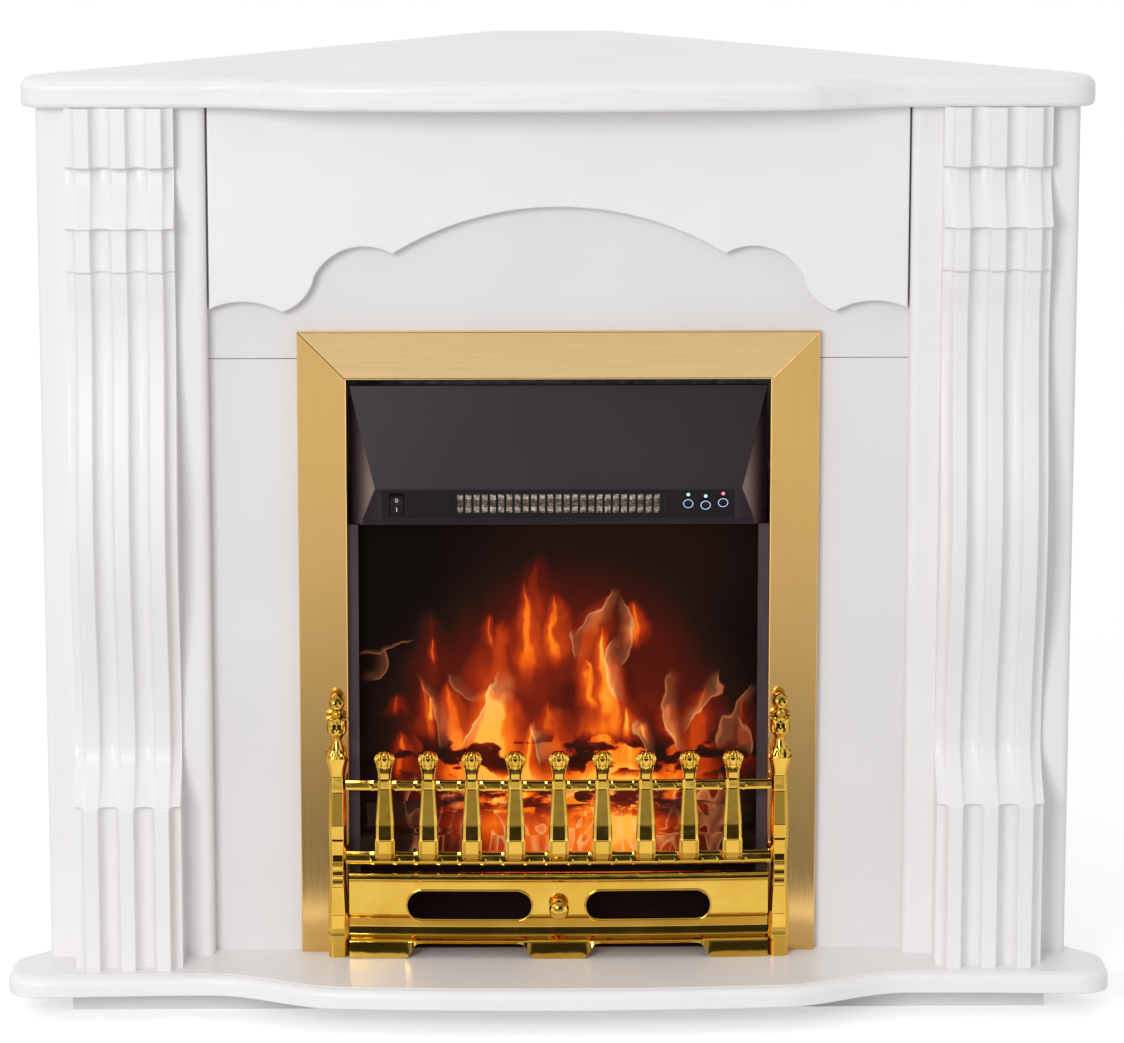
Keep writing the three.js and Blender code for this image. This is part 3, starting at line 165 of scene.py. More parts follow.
class Wire:
    """An output of a shader's node, or a tree alone. Python's operators on it add Math nodes."""

    def __init__(self, tree, socket=None):
        self.tree, self.socket = tree, socket

    def node(self, kind, settings=None, values=None, output=0):
        """A new node of that kind: its settings first, then the values or links of its sockets."""
        made = self.tree.nodes.new("ShaderNode" + kind)
        for key, value in (settings or {}).items():
            if key == "stops":
                stops = made.color_ramp.elements
                while len(stops) < len(value):
                    stops.new(1.0)
                for stop, (place, colour) in zip(stops, value):
                    stop.position = place
                    stop.color = (*colour, 1.0)
            else:
                setattr(made, key, value)
        for key, value in (values or {}).items():
            if isinstance(value, Wire):
                self.tree.links.new(value.socket, made.inputs[key])
            else:
                made.inputs[key].default_value = value
        return Wire(self.tree, made.outputs[output])

    def maths(self, operation, *operands):
        """A Math node on any operands, wires or numbers."""
        return self.node("Math", {"operation": operation}, dict(enumerate(operands)))

    def __add__(self, other):
        return self.maths("ADD", self, other)

    def __sub__(self, other):
        return self.maths("SUBTRACT", self, other)

    def __rsub__(self, other):
        return self.maths("SUBTRACT", other, self)

    def __mul__(self, other):
        return self.maths("MULTIPLY", self, other)

    def __truediv__(self, other):
        return self.maths("DIVIDE", self, other)

    def __pow__(self, other):
        return self.maths("POWER", self, other)

    def __abs__(self):
        return self.maths("ABSOLUTE", self)

    def most(self, other):
        """The greater of the two."""
        return self.maths("MAXIMUM", self, other)

    __radd__ = __add__
    __rmul__ = __mul__

    def rise(self, low, high):
        """0 below low, 1 above high, and a smooth S between them; high may be the lower of the two."""
        values = {"Value": self, "From Min": low, "From Max": high}
        return self.node("MapRange", {"interpolation_type": "SMOOTHSTEP"}, values)

    def place(self):
        """The point of the surface, in metres in the part's frame."""
        return self.node("TexCoord", output="Object")

    def ray(self, *kinds):
        """1 for light rays of any of these kinds."""
        first, *rest = [self.node("LightPath", output=f"Is {kind} Ray") for kind in kinds]
        return sum(rest, first)

    def axes(self):
        """X, Y and Z of a vector."""
        split = self.node("SeparateXYZ", None, {0: self}).socket.node
        return [Wire(self.tree, socket) for socket in split.outputs]

    def noise(self, scale, detail=2.0, stretch=(1.0, 1.0, 1.0), roughness=0.5):
        """Cloudy noise about self, between 0 and 1, finer along an axis with a larger stretch."""
        spot = self.node("Mapping", None, {"Vector": self, "Scale": stretch})
        values = {"Vector": spot, "Scale": scale, "Detail": detail, "Roughness": roughness}
        return self.node("TexNoise", None, values)

    def colours(self, *stops):
        """A colour ramp along self."""
        return self.node("ValToRGB", {"stops": stops}, {0: self})

    def mixed(self, first, second):
        """From the first colour to the second as self goes from 0 to 1."""
        first, second = ((*tone, 1.0) if isinstance(tone, tuple) else tone for tone in (first, second))
        return self.node("Mix", {"data_type": "RGBA"}, {0: self, 6: first, 7: second}, 2)

    def bump(self, height, strength=1.0):
        """A normal from self as a height, where 1 stands height metres proud."""
        return self.node("Bump", None, {"Height": self, "Distance": height, "Strength": strength})


def finish(name, plain, varying):
    """A material: plain numbers go on the shader's own sockets, varying(place) gives what is linked."""
    material = bpy.data.materials.new(name)
    material.use_nodes = True
    tree = material.node_tree
    shader = tree.nodes["Principled BSDF"]
    for key, value in plain.items():
        shader.inputs[key].default_value = value
    for key, wire in varying(Wire(tree).place()).items():
        tree.links.new(wire.socket, shader.inputs[key])
    return material


def film_look(grain, depth=1.0):
    """White film: a faint orange-peel, tone clouds times depth, where a depth below 1 is painted shade, and,
    by grain, streaks of pores along X.
    """

    def look(place):
        shadow, light = (tuple(part * depth for part in tone)
                         for tone in ((0.845, 0.825, 0.83), (0.872, 0.858, 0.862)))
        colour = place.noise(7.0, 3.0).colours((0.3, shadow), (0.7, light))
        peel = place.noise(420.0, 2.0)
        pores = place.noise(34.0, 5.0, (0.22, 5.0, 5.0), 0.62).rise(0.5, 0.66)
        level = peel * 0.12 + pores * grain
        shade = (pores * (0.14 * grain)).mixed(colour, (0.6, 0.6, 0.62))
        return {"Base Color": shade, "Roughness": peel * 0.1 + 0.3, "Normal": level.bump(0.0002, 0.5)}

    return look


film_plain = {"Coat Weight": 0.08, "Coat Roughness": 0.15, "Specular IOR Level": 0.3}
white_film = finish("white_film", film_plain, film_look(0.0))
grained_film = finish("grained_white_film", film_plain, film_look(1.0))
# Painted shade: the recessed panels get the same film made 9 % darker.
panel_shade_film = finish("panel_painted_shade", film_plain, film_look(0.0, 0.91))


def unit(ways):
    """Each way made one long."""
    return ways / np.linalg.norm(ways, axis=1)[:, None]


def along_ring(points):
    """The unit way along a closed ring at each of its points, from the point before to the one after."""
    return unit(np.roll(points, -1, axis=0) - np.roll(points, 1, axis=0))


def corner_outline(half, bow, side, flare, wall_reach):
    """Plan of a corner board and each point's inward direction: a crowned bow cosine-eased to the lobes,
    quadratic corners, then the 45-degree walls x + y = wall_reach to the cut-off back corner."""
    sweep_in, sweep_out, crown, corner, back_half = 212.0, 340.0, 9.0, 34.0, 60.0
    straight = half - corner
    x = np.linspace(-straight, straight, 483)
    reach = np.abs(x)
    middle = bow - crown * np.minimum(1, reach / sweep_in) ** 2
    ease = 0.5 + 0.5 * np.cos(np.pi * np.clip((reach - sweep_in) / (sweep_out - sweep_in), 0, 1))
    lobe = np.clip((reach - sweep_out) / (straight - sweep_out), 0, 1)
    y = -side - (middle - side) * ease - flare * lobe**2
    x, y = blend(joined(x, y), 7.0, len(x))
    t = np.linspace(0, 1, 15)[1:]
    turn_x = straight + corner * (1 - (1 - t) ** 2)
    turn_y = y[-1] + corner * t**2
    right = [(half, wall_reach - half), (back_half, wall_reach - back_half)]
    left = [(-x0, y0) for x0, y0 in reversed(right)]
    curve = joined(np.concatenate((-turn_x[::-1], x, turn_x)), np.concatenate((turn_y[::-1], y, turn_y)))
    outline = np.concatenate((curve, right, left))
    along = along_ring(outline)
    inward = joined(-along[:, 1], along[:, 0])
    inward[len(curve) - 1], inward[0] = (-1, 0), (1, 0)
    inward[len(curve):] = [(-1, 1), (0, 0), (0, 0), (1, 1)]
    return outline, inward


def quarter(radius, height, start, end, steps):
    """Quarter round of an edge as rows of (inset, height), by the angle from its outermost point."""
    angle = np.radians(np.linspace(start, end, steps + 1))
    return joined(radius * (1 - np.cos(angle)), height + radius * np.sin(angle))


def moulded_board(outline, inward, low, thickness, under_round):
    """The outline set in and raised along its edge moulding: rounded below, a shoulder and a fine step."""
    shoulder, step = 9.0, 0.6
    edge = np.concatenate((
        quarter(under_round, under_round, -90, 0, 6),
        quarter(shoulder, thickness - step - shoulder, 0, 90, 10),
        [(shoulder + 0.25, thickness - step), (shoulder + step, thickness)],
    ))
    plan = outline[None] + inward[None] * edge[:, None, :1]
    return swept(joined(plan[..., 0], plan[..., 1], low + edge[:, 1:]))


shelf = moulded_board(*corner_outline(516, 86, 43, 0, 510), MANTEL_LOW, 28, 5)
make_board("mantel_board", shelf, grained_film, "mantel_shelf")
plate = moulded_board(*corner_outline(539, 148, 93, 6, 502), 25, 20, 1.5)
make_board("hearth_board", plate, white_film, "hearth_plate")


# ---- Plinth, side panels and upper panel ----
# Square boards under the hearth plate and behind the frieze, and the cheeks inside that carry the mantel.
# Sawn fibreboard with film on the faces that are seen. They keep their CAD shapes.
def coat(look, *nodes):
    """Puts a material on carried-over CAD nodes."""
    for node in nodes:
        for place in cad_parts[node].material_slots:
            place.material = look


def board_look(place):
    """Raw fibreboard: fine fibres and a slow change of tone."""
    fibre = place.noise(260.0, 4.0)
    mottle = fibre * 0.5 + place.noise(9.0, 2.0) * 0.5
    tone = mottle.colours((0.3, (0.46, 0.34, 0.22)), (0.7, (0.6, 0.47, 0.32)))
    return {"Base Color": tone, "Normal": fibre.bump(0.0003, 0.4)}


fibreboard = finish("fibreboard", {"Roughness": 0.85}, board_look)
coat(white_film, "plinth_front", "plinth_left", "plinth_right")
# The upper and side panels take the darker film, as painted shade.
coat(panel_shade_film, "upper_panel", "side_panel_left", "side_panel_right")
coat(fibreboard, "cheek_left", "cheek_right")


# ---- Frieze board ----
# A board over the upper panel with a traditional cupid's-bow lower edge: an arch between two ears, an
# ogee down to a cusp and a flat wing. Its front edge is softened by the film.
def arc_through(start, middle, end, count):
    """Points after start on the circle through three points."""
    (ax, ay), (bx, by), (cx, cy) = start, middle, end
    d = 2 * (ax * (by - cy) + bx * (cy - ay) + cx * (ay - by))
    a2, b2, c2 = ax**2 + ay**2, bx**2 + by**2, cx**2 + cy**2
    x = (a2 * (by - cy) + b2 * (cy - ay) + c2 * (ay - by)) / d
    y = (a2 * (cx - bx) + b2 * (ax - cx) + c2 * (bx - ax)) / d
    first = math.atan2(ay - y, ax - x)
    sweep = (math.atan2(cy - y, cx - x) - first + math.pi) % (2 * math.pi) - math.pi
    angle = first + sweep * np.linspace(0, 1, count + 1)[1:]
    radius = math.hypot(ax - x, ay - y)
    return joined(x + radius * np.cos(angle), y + radius * np.sin(angle))


def frieze_outline():
    """Lower edge from the arch's middle to the right wing and up to the mantel, then its mirror image."""
    right = np.concatenate((
        arc_through((-161, 743.5), (0, 789), (161, 743.5), 72)[35:],
        arc_through((161, 743.5), (194, 750.5), (236, 722), 24),
        arc_through((236, 722), (246, 701), (268, 687), 16),
        arc_through((268, 687), (303, 697), (338, 690), 20),
        [(338, MANTEL_LOW)],
    ))
    left = right[:0:-1] * (-1, 1)
    return np.concatenate((right, left))


def soft_board(outline, back, front, soft):
    """A board from its (x, z) outline, with a quarter round along the edge of its front face."""
    before = unit(outline - np.roll(outline, 1, axis=0))
    after = unit(np.roll(outline, -1, axis=0) - outline)
    normal = joined(-(before + after)[:, 1], (before + after)[:, 0])
    inward = normal / (1 + np.sum(before * after, axis=1))[:, None]
    edge = quarter(soft, 0, 0, 90, 6) * (1, -1) + (0, front + soft)
    rows = np.concatenate(([(0, back)], edge))
    plan = outline[None] + inward[None] * rows[:, None, :1]
    return swept(joined(plan[..., 0], rows[:, 1:], plan[..., 1]))


frieze = soft_board(frieze_outline(), 0, -16, 1.8)
make_board("frieze_front", frieze, white_film, "frieze_board")

# ---- Pilaster boards ----
# The two wide uprights at the sides, with both front edges rounded, that carry the consoles. Milled
# fibreboard in white film.
SIDES = (("left", -1), ("right", 1))
PILASTER_MID, PILASTER_THICK = 421.0, 22.0
half, edge_round = 81.0, 8.0
turn = np.radians(np.linspace(0, 90, 11))
edge = joined(half - edge_round + edge_round * np.sin(turn),
              edge_round - PILASTER_THICK - edge_round * np.cos(turn))
section = np.concatenate((edge, [(half, 0), (-half, 0)], edge[::-1] * (-1, 1)))
for name, side in SIDES:
    ends = np.array([[HEARTH_TOP], [MANTEL_LOW]])
    upright = swept(joined(side * PILASTER_MID + section[:, 0], section[:, 1], ends))
    make_board(f"pilaster_{name}", upright, white_film, f"pilaster_board_{name}")


# ---- Consoles ----
# Carved brackets on the pilasters: three ribs with elliptical flutes between them and a coved corner at
# each side, over a face that steps back below the mantel, bellies out, flares and ends in a base block.
def console_face():
    """Rows of (depth below the mantel, reach, flute depth): straight runs, an ogee and two coves."""
    rows = [(0, 28, 11), (58, 28, 11), (58.05, 12, 6)]
    t = np.linspace(0, 1, 15)[1:]
    cove = 1 - np.cos(np.pi / 2 * t)
    ogee = 0.5 - 0.5 * np.cos(np.pi * t)
    rows += joined(58 + 57 * t, 12 + 26 * cove, 6 - 2 * t).tolist()
    rows += [(115.05, 34, 12), (157, 34, 12), (157.05, 29, 10)]
    for (d0, r0, f0), (d1, r1, f1) in (((157, 29, 10), (205, 24, 11)), ((205, 24, 11), (415, 48, 14)),
                                       ((415, 48, 14), (625, 16, 9))):
        rows += joined(d0 + (d1 - d0) * t, r0 + (r1 - r0) * ogee, f0 + (f1 - f0) * t).tolist()
    rows += joined(625 + 55 * t, 16 + 36 * cove, 9 - 6 * t).tolist()
    rows += [(680.05, 54, 14), (843, 54, 14)]
    return rows


def console_section(count):
    """Share of the flute depth across: quarter ellipses at the sides, half ellipses between the ribs."""
    half, rib, flute, cove = 52.0, 15.0, 19.5, 10.0
    x = np.linspace(-half, half, count)
    share = np.sqrt(np.clip(1 - ((half - np.abs(x)) / cove) ** 2, 0, 1))
    middle = (rib + flute) / 2
    share = np.maximum(share, np.sqrt(np.clip(1 - ((np.abs(x) - middle) / (flute / 2)) ** 2, 0, 1)))
    return blend(joined(x, share), 0.55, count)


x, share = console_section(150)
depth, reach, flute = blend(console_face(), 0.7, 3400)
kept = np.arange(len(depth)) % 12 == 0
for hard in (0, 58, 115, 157, 680, 843):
    kept |= np.abs(depth - hard) < 2.4
depth, reach, flute = depth[kept], reach[kept], flute[kept]
front_y = -PILASTER_THICK - reach[:, None] + flute[:, None] * share[None]
for name, side in SIDES:
    front = joined(side * PILASTER_MID + x[None], front_y, MANTEL_LOW - depth[:, None])
    back = front[:, [-1, 0]].copy()
    back[..., 1] = -PILASTER_THICK
    console = swept(np.concatenate((front, back), axis=1))
    make_board(f"console_carving_{name}", console, white_film, f"console_{name}", 50)


# ---- Brass trim ----
# Three flat bars with a narrow bevel, mitred at the top corners and screwed from behind. Brushed
# lengthwise and lacquered, so it shines softly.
MITRE_LINE = 0.413


def satin_look(place):
    """Satin brass: fine streaks along the bar, a slow warm change of tone, and a painted reflection that
    makes the top bar paler.
    """
    x, y, z = place.axes()
    streak_up = place.noise(90.0, 4.0, (9.0, 1.0, 0.35))
    streak_across = place.noise(90.0, 4.0, (0.35, 1.0, 9.0))
    on_top = (z - abs(x) - MITRE_LINE).rise(-0.0004, 0.0004)
    streak = on_top * streak_across + (1 - on_top) * streak_up
    cloud = place.noise(3.0, 2.0) * 0.6 + streak * 0.4
    tone = cloud.colours((0.3, (0.74, 0.46, 0.145)), (0.7, (0.84, 0.54, 0.2)))
    # Painted reflection: the top bar is mixed towards pale brass, standing in for the brighter reflection it
    # shows.
    tone = (on_top * 0.45).mixed(tone, (1.0, 0.74, 0.42))
    return {"Base Color": tone, "Roughness": streak * 0.08 + 0.13, "Normal": streak.bump(0.00003, 0.4)}


satin_brass = finish("satin_brass", {"Metallic": 1.0}, satin_look)


def trim_section():
    """Section of a trim bar as (way across from its inner edge, y): bevelled inside, eased outside."""
    width, front, bevel, ease = 48.0, -10.0, 2.6, 1.2
    inner, outer = quarter(bevel, 0, 0, 90, 5), quarter(ease, 0, 0, 90, 4)[::-1]
    return np.concatenate((
        [(0, 0)],
        joined(inner[:, 0], front + bevel - inner[:, 1]),
        joined(width - outer[:, 0], front + ease - outer[:, 1]),
        [(width, 0)],
    ))


across, depth_y = trim_section().T
inner_x, inner_top = 206.0, 619.0
level_ends = inner_top + across
upright_ends = np.stack((np.full(len(across), HEARTH_TOP), level_ends))
soft_edges = ("BEVEL", {"width": 0.0005, "segments": 2, "limit_method": "ANGLE"})
for name, sides, z in (("left", (-1, -1), upright_ends), ("right", (1, 1), upright_ends),
                       ("top", (-1, 1), level_ends)):
    bar = swept(joined(np.array(sides)[:, None] * (inner_x + across), depth_y, z))
    make(f"trim_bar_{name}", [(*bar, 0)], [satin_brass], "surround", [f"trim_{name}"], 25,
         [soft_edges])


# ---- Case and hood of the fire ----
# Folded sheet steel in black stove enamel: a case behind the trim and, in its upper half, a hood whose
# face slopes forward to a ridge, with a slanted facet at each side and the fascia's window below.


def enamel_look(place):
    """Plum-black enamel with a fine peel, and painted light on the slanted facets: they are painted paler,
    palest by the ridge.
    """
    peel = place.noise(700.0, 2.0)
    tone = place.noise(6.0, 2.0).colours((0.3, (0.02, 0.011, 0.0165)), (0.7, (0.028, 0.017, 0.024)))
    y, z = place.axes()[1:]
    # Painted light: the slanted facets are lightened, most towards the ridge's lower corner, standing in for
    # the light they catch.
    facet = abs(place.node("NewGeometry", output="Normal").axes()[0]).rise(0.45, 0.6) * y.rise(-0.146, -0.152)
    painted_facet_light = facet * (y.rise(-0.149, -0.166) * z.rise(0.62, 0.51) * 0.85 + 0.12)
    tone = painted_facet_light.mixed(tone, (0.24, 0.17, 0.155))
    return {"Base Color": tone, "Roughness": peel * 0.1 + 0.3, "Normal": peel.bump(0.00008, 0.4)}


black_enamel = finish("black_enamel", {"Specular IOR Level": 0.3}, enamel_look)


def strip_look(place):
    """Satin enamel of the strips beside the screen, painted violet-grey, paler than the black enamel, as
    painted light.
    """
    cloud = place.noise(14.0, 2.0)
    tone = cloud.colours((0.3, (0.055, 0.038, 0.046)), (0.7, (0.075, 0.055, 0.066)))
    return {"Base Color": tone, "Roughness": cloud * 0.1 + 0.35}


strip_enamel_painted_light = finish("strip_enamel_painted_light", {"Specular IOR Level": 0.3}, strip_look)


def zinc_look(place):
    """Zinc-coated sheet: flakes of grey."""
    flake = place.node("TexVoronoi", None, {"Vector": place, "Scale": 160.0}, "Color")
    grey = flake.axes()[0]
    tone = grey.colours((0.0, (0.42, 0.43, 0.45)), (1.0, (0.6, 0.61, 0.63)))
    return {"Base Color": tone, "Roughness": grey * 0.2 + 0.3}


galvanised = finish("galvanised", {"Metallic": 1.0}, zinc_look)
# Painted light: the black-enamelled case sides get this paler copy of the enamel.
coat(strip_enamel_painted_light, "case_side_left", "case_side_right")
coat(black_enamel, "case_top", "case_floor")
coat(galvanised, "case_back", "blower_duct", "blower_motor", "spindle_motor", "flicker_spindle")

top, ridge, foot_edge, lip = (204, 2.3, 567), (179, -16, 468), (191.5, -4, 435), (191.5, -4, 430.2)
low_back, high_back = (204, 8.4, 430.2), (204, 8.4, 567)
window_half, window_high = 172.0, 15.55
lean = math.atan2(12, 33)


def on_fascia(x, z, proud=0.0):
    """A point of the fascia's leaning plane, x from its middle and z up the plane, stood proud of it."""
    x, z, proud = np.asarray(x, float), np.asarray(z, float), np.asarray(proud, float)
    y = -10 - z * math.sin(lean) - proud * math.cos(lean)
    return joined(x, y, 451.5 + z * math.cos(lean) - proud * math.sin(lean) + HEARTH_TOP)


right = np.array([top, ridge, foot_edge, lip, low_back, high_back]) + (0, 0, HEARTH_TOP)
window = on_fascia([window_half, window_half, -window_half, -window_half],
                   [window_high, -window_high, -window_high, window_high])
hood_points = np.concatenate((right, right * (-1, 1, 1), window))
hood_faces = [(0, 1, 7, 6), (1, 12, 15, 7), (1, 2, 13, 12), (2, 8, 14, 13), (7, 15, 14, 8), (2, 3, 9, 8),
              (0, 5, 1), (5, 2, 1), (5, 4, 3, 2), (6, 7, 11), (11, 7, 8), (11, 8, 9, 10),
              (3, 4, 10, 9), (5, 0, 6, 11)]
make("hood_sheet", [(hood_points, hood_faces, 0)], [black_enamel], "surround", ["hood"], 30,
     [("SOLIDIFY", {"thickness": 0.0011, "offset": -1.0}), soft_edges])


# ---- Fascia: plates, warm-air grille, rocker switch, buttons and pilot lights ----
# Moulded black plates in the hood's window. The rocker is marked 0 and I in white, the three round push
# buttons have a lit ring, and a small light stands over each.
def moulded_look(place):
    """Black moulded plastic with a fine spark-eroded grain."""
    grain = place.noise(1500.0, 2.0)
    tone = place.noise(30.0, 2.0).colours((0.3, (0.008, 0.006, 0.006)), (0.7, (0.013, 0.01, 0.009)))
    return {"Base Color": tone, "Roughness": grain * 0.2 + 0.28, "Normal": grain.bump(0.00005, 0.4)}


black_plastic = finish("black_plastic", {"Specular IOR Level": 0.22}, moulded_look)
coat(black_plastic, "fascia_left", "fascia_right", "air_grille", "blower_wheel", "cord_gland")


def printed(colour, strength):
    """A printed or lit mark, a little uneven, glowing at strength; on a printed mark the glow is painted
    light.
    """

    def look(place):
        tone = place.noise(900.0, 3.0).colours((0.3, tuple(0.82 * part for part in colour)), (0.7, colour))
        return {"Base Color": tone, "Emission Color": tone}

    return finish("mark", {"Roughness": 0.4, "Emission Strength": strength}, look)


# Painted light: the white 0 and I print glows at strength 0.35 though it is no lamp.
white_mark, blue_ring = printed((0.85, 0.86, 0.88), 0.35), printed((0.42, 0.58, 0.86), 0.8)


def turned(profile, place, ripple=None, sides=64):
    """A profile of (height, radius) turned about an axis; ripple(height) waves the radius round it.
    place(radius across, radius along, height) says where the three ways go."""
    height, radius = np.asarray(profile, float).T
    angle = np.linspace(0, 2 * np.pi, sides, endpoint=False)
    height, radius = height[:, None], radius[:, None]
    if ripple:
        radius = radius * (1 + ripple(height, angle))
    return swept(place(radius * np.cos(angle), radius * np.sin(angle), height))


switch_x, switch_half_w, switch_half_h, pivot = -158.0, 6.6, 11.1, 3.5
tilt = math.radians(6)


def on_rocker(x, z, proud):
    """A point of the rocker, in its own axes about the pin, turned by its resting tilt."""
    return on_fascia(switch_x + x, z * math.cos(tilt) - proud * math.sin(tilt),
                     proud * math.cos(tilt) + z * math.sin(tilt) - pivot)


def dish_at(way):
    """How far the face stands from the pin, hollow in the middle: pivot + 1.1 * |way|^1.6."""
    return pivot + 1.1 * np.abs(way) ** 1.6


way = np.linspace(-1, 1, 41)
face_ring = np.concatenate((joined(way * switch_half_h, dish_at(way)),
                            [(switch_half_h, 0.5), (switch_half_h / 2, -pivot),
                             (-switch_half_h / 2, -pivot), (-switch_half_h, 0.5)]))
ends = np.array([-1, -0.97, 0.97, 1])[:, None] * switch_half_w
trim_in = np.array([0.4, 0, 0, 0.4])[:, None]
rocker = on_rocker(ends, face_ring[:, 0] * (1 - trim_in / switch_half_h), face_ring[:, 1] - trim_in)
make("rocker_key", [(*swept(rocker), 0)], [black_plastic], "rocker", ["rocker_switch"], 30)


def on_dish(x, z, proud):
    """A point proud of the rocker's dished face."""
    return on_rocker(x, z, dish_at(z / switch_half_h) + proud)


mark_z, mark_half_w, mark_half_h, mark_low, mark_high = 5.6, 1.6, 2.4, 0.01, 0.1
turn = np.linspace(0, 2 * np.pi, 32, endpoint=False)[:, None]
size, proud = np.array([(0.75, mark_low), (0.75, mark_high), (1.0, mark_high), (1.0, mark_low)]).T
zero = on_dish(mark_half_w * size * np.cos(turn), mark_z + mark_half_h * size * np.sin(turn), proud)
stroke = on_dish(np.array([-0.3, 0.3, 0.3, -0.3]), np.array([[-mark_half_h], [mark_half_h]]) - mark_z,
                 np.array([mark_low, mark_low, mark_high, mark_high]))
zero_shell = swept(np.concatenate((zero, zero[:1])), False)
make("rocker_marks", [(*zero_shell, 0), (*swept(stroke), 0)], [white_mark], "rocker", [], 30)

button_x = (126.5, 143.5, 160.5)
button_z = (1.2, -0.6, 2.2)
cap = [(-4.0, 0.0), (-4.0, 5.9), (-2.3, 5.9), (-2.3, 5.4), (1.0, 5.4), (1.35, 5.28), (1.6, 4.9),
       (1.6, 4.3), (1.35, 3.9), (1.15, 2.0), (1.1, 0.0)]
ring = [(1.3, 5.05), (1.55, 5.0), (1.66, 4.75), (1.66, 4.35), (1.5, 4.2), (1.2, 4.2), (1.3, 5.05)]
for number, (middle_x, middle_z) in enumerate(zip(button_x, button_z)):
    def at_button(across, along, height):
        """Places a turned form on this button's axis."""
        return on_fascia(middle_x + across, middle_z + along, height)

    glow_points, glow_faces = turned(ring, at_button)
    shells = [(*turned(cap, at_button), 0), (glow_points, glow_faces[:-2], 1)]
    make(f"button_cap_{number + 1}", shells, [black_plastic, blue_ring],
         f"button_{number + 1}", [f"push_button_{number + 1}"], 30)


def pilot_look(place):
    """Light guide: blue-white pips, and the last one red."""
    red = place.axes()[0].rise(0.1515, 0.1525)
    tone = red.mixed((0.45, 0.62, 0.95), (0.9, 0.22, 0.28))
    return {"Base Color": tone, "Emission Color": tone, "Roughness": place.noise(500.0, 2.0) * 0.2 + 0.2}


coat(finish("lens", {"Emission Strength": 0.8}, pilot_look), "pilot_lights")


# ---- Heating element behind the grille ----
# Ceramic heater with crimped aluminium fins in three rows, seen through the grille. It keeps its CAD shape;
# its highlights and a faint glow are painted light.
def fin_look(place):
    """Warm aluminium: brownish, with painted highlights in rows and on the crimps, and a faint glow that is
    painted light.
    """
    crimp = place.noise(800.0, 2.0, (0.5, 1.0, 1.4))
    way = (place.axes()[2] - 0.4965) * 520.0
    # Painted highlights: bright bands in rows up the element and on the crimps.
    rows = way.maths("SINE", way).rise(0.0, 0.9) * 0.5 + crimp.rise(0.45, 0.7) * 0.55
    tone = rows.colours((0.0, (0.1, 0.07, 0.055)), (0.5, (0.42, 0.34, 0.29)), (0.9, (1.0, 0.95, 0.9)))
    return {"Base Color": tone, "Roughness": crimp * 0.3 + 0.25, "Emission Color": tone}


# Painted light: the fins glow at strength 0.3 in their own colour though the element is no lamp.
fins = finish("heater_metal", {"Metallic": 0.6, "Emission Strength": 0.3}, fin_look)
coat(fins, "heating_element")


# ---- Flame screen and fuel bed ----
# A lit, translucent picture pane with moulded logs and embers before it. Light from a turning spindle
# draws the flames on both, so one pattern runs over the two.
def node_group(name, inputs, formula):
    """A node group, worked out once and used many times: formula of its inputs gives its one output."""
    tree = bpy.data.node_groups.new(name, "ShaderNodeTree")
    for key in inputs:
        tree.interface.new_socket(key, in_out="INPUT", socket_type="NodeSocketFloat")
    tree.interface.new_socket("Result", in_out="OUTPUT", socket_type="NodeSocketFloat")
    given, result = tree.nodes.new("NodeGroupInput"), tree.nodes.new("NodeGroupOutput")
    worked_out = formula(*[Wire(tree, given.outputs[key]) for key in inputs])
    tree.links.new(worked_out.socket, result.inputs[0])
    return tree


def tongue_heat(across, height, foot_x, foot_z, lean, tall, half, warmth, start, full):
    """One tongue: 1 on its leaning line, fading to 0 at half * (1 - rise)^0.7, in a wider dim halo."""
    rise = (height - foot_z) / tall
    narrow = (1 - rise).most(0.0) ** 0.7 * half + 0.01
    aside = abs(across - (rise * lean + foot_x))
    core = (1 - aside / narrow).rise(-0.15, 0.95)
    glow = core.most((1 - aside / (narrow * 2.2 + 7)).rise(0.0, 1.0) * 0.62)
    return glow * rise.rise(start, full) * rise.rise(1.12, 0.85) * warmth


def strand_veil(across, height, foot_x, foot_z, lean, tall, bend, side, strength):
    """One strand: a bent line, sharp on one side, with a thin veil fading from it on the other."""
    rise = (height - foot_z) / tall
    aside = (across - (rise * lean + foot_x) - rise * (1 - rise) * (bend * 4)) * side
    sheet = aside.rise(-1.3, 0.0) * (aside.rise(20.0, 0.0) * 0.4 + aside.rise(2.6, 0.6) * 0.6)
    return sheet * rise.rise(0.0, 0.2) * rise.rise(1.0, 0.8) * strength


tongue_keys = ("across", "height", "foot_x", "foot_z", "lean", "tall", "half", "warmth", "start", "full")
strand_keys = ("across", "height", "foot_x", "foot_z", "lean", "tall", "bend", "side", "strength")
tongue_group = node_group("flame_tongue", tongue_keys, tongue_heat)
strand_group = node_group("flame_strand", strand_keys, strand_veil)

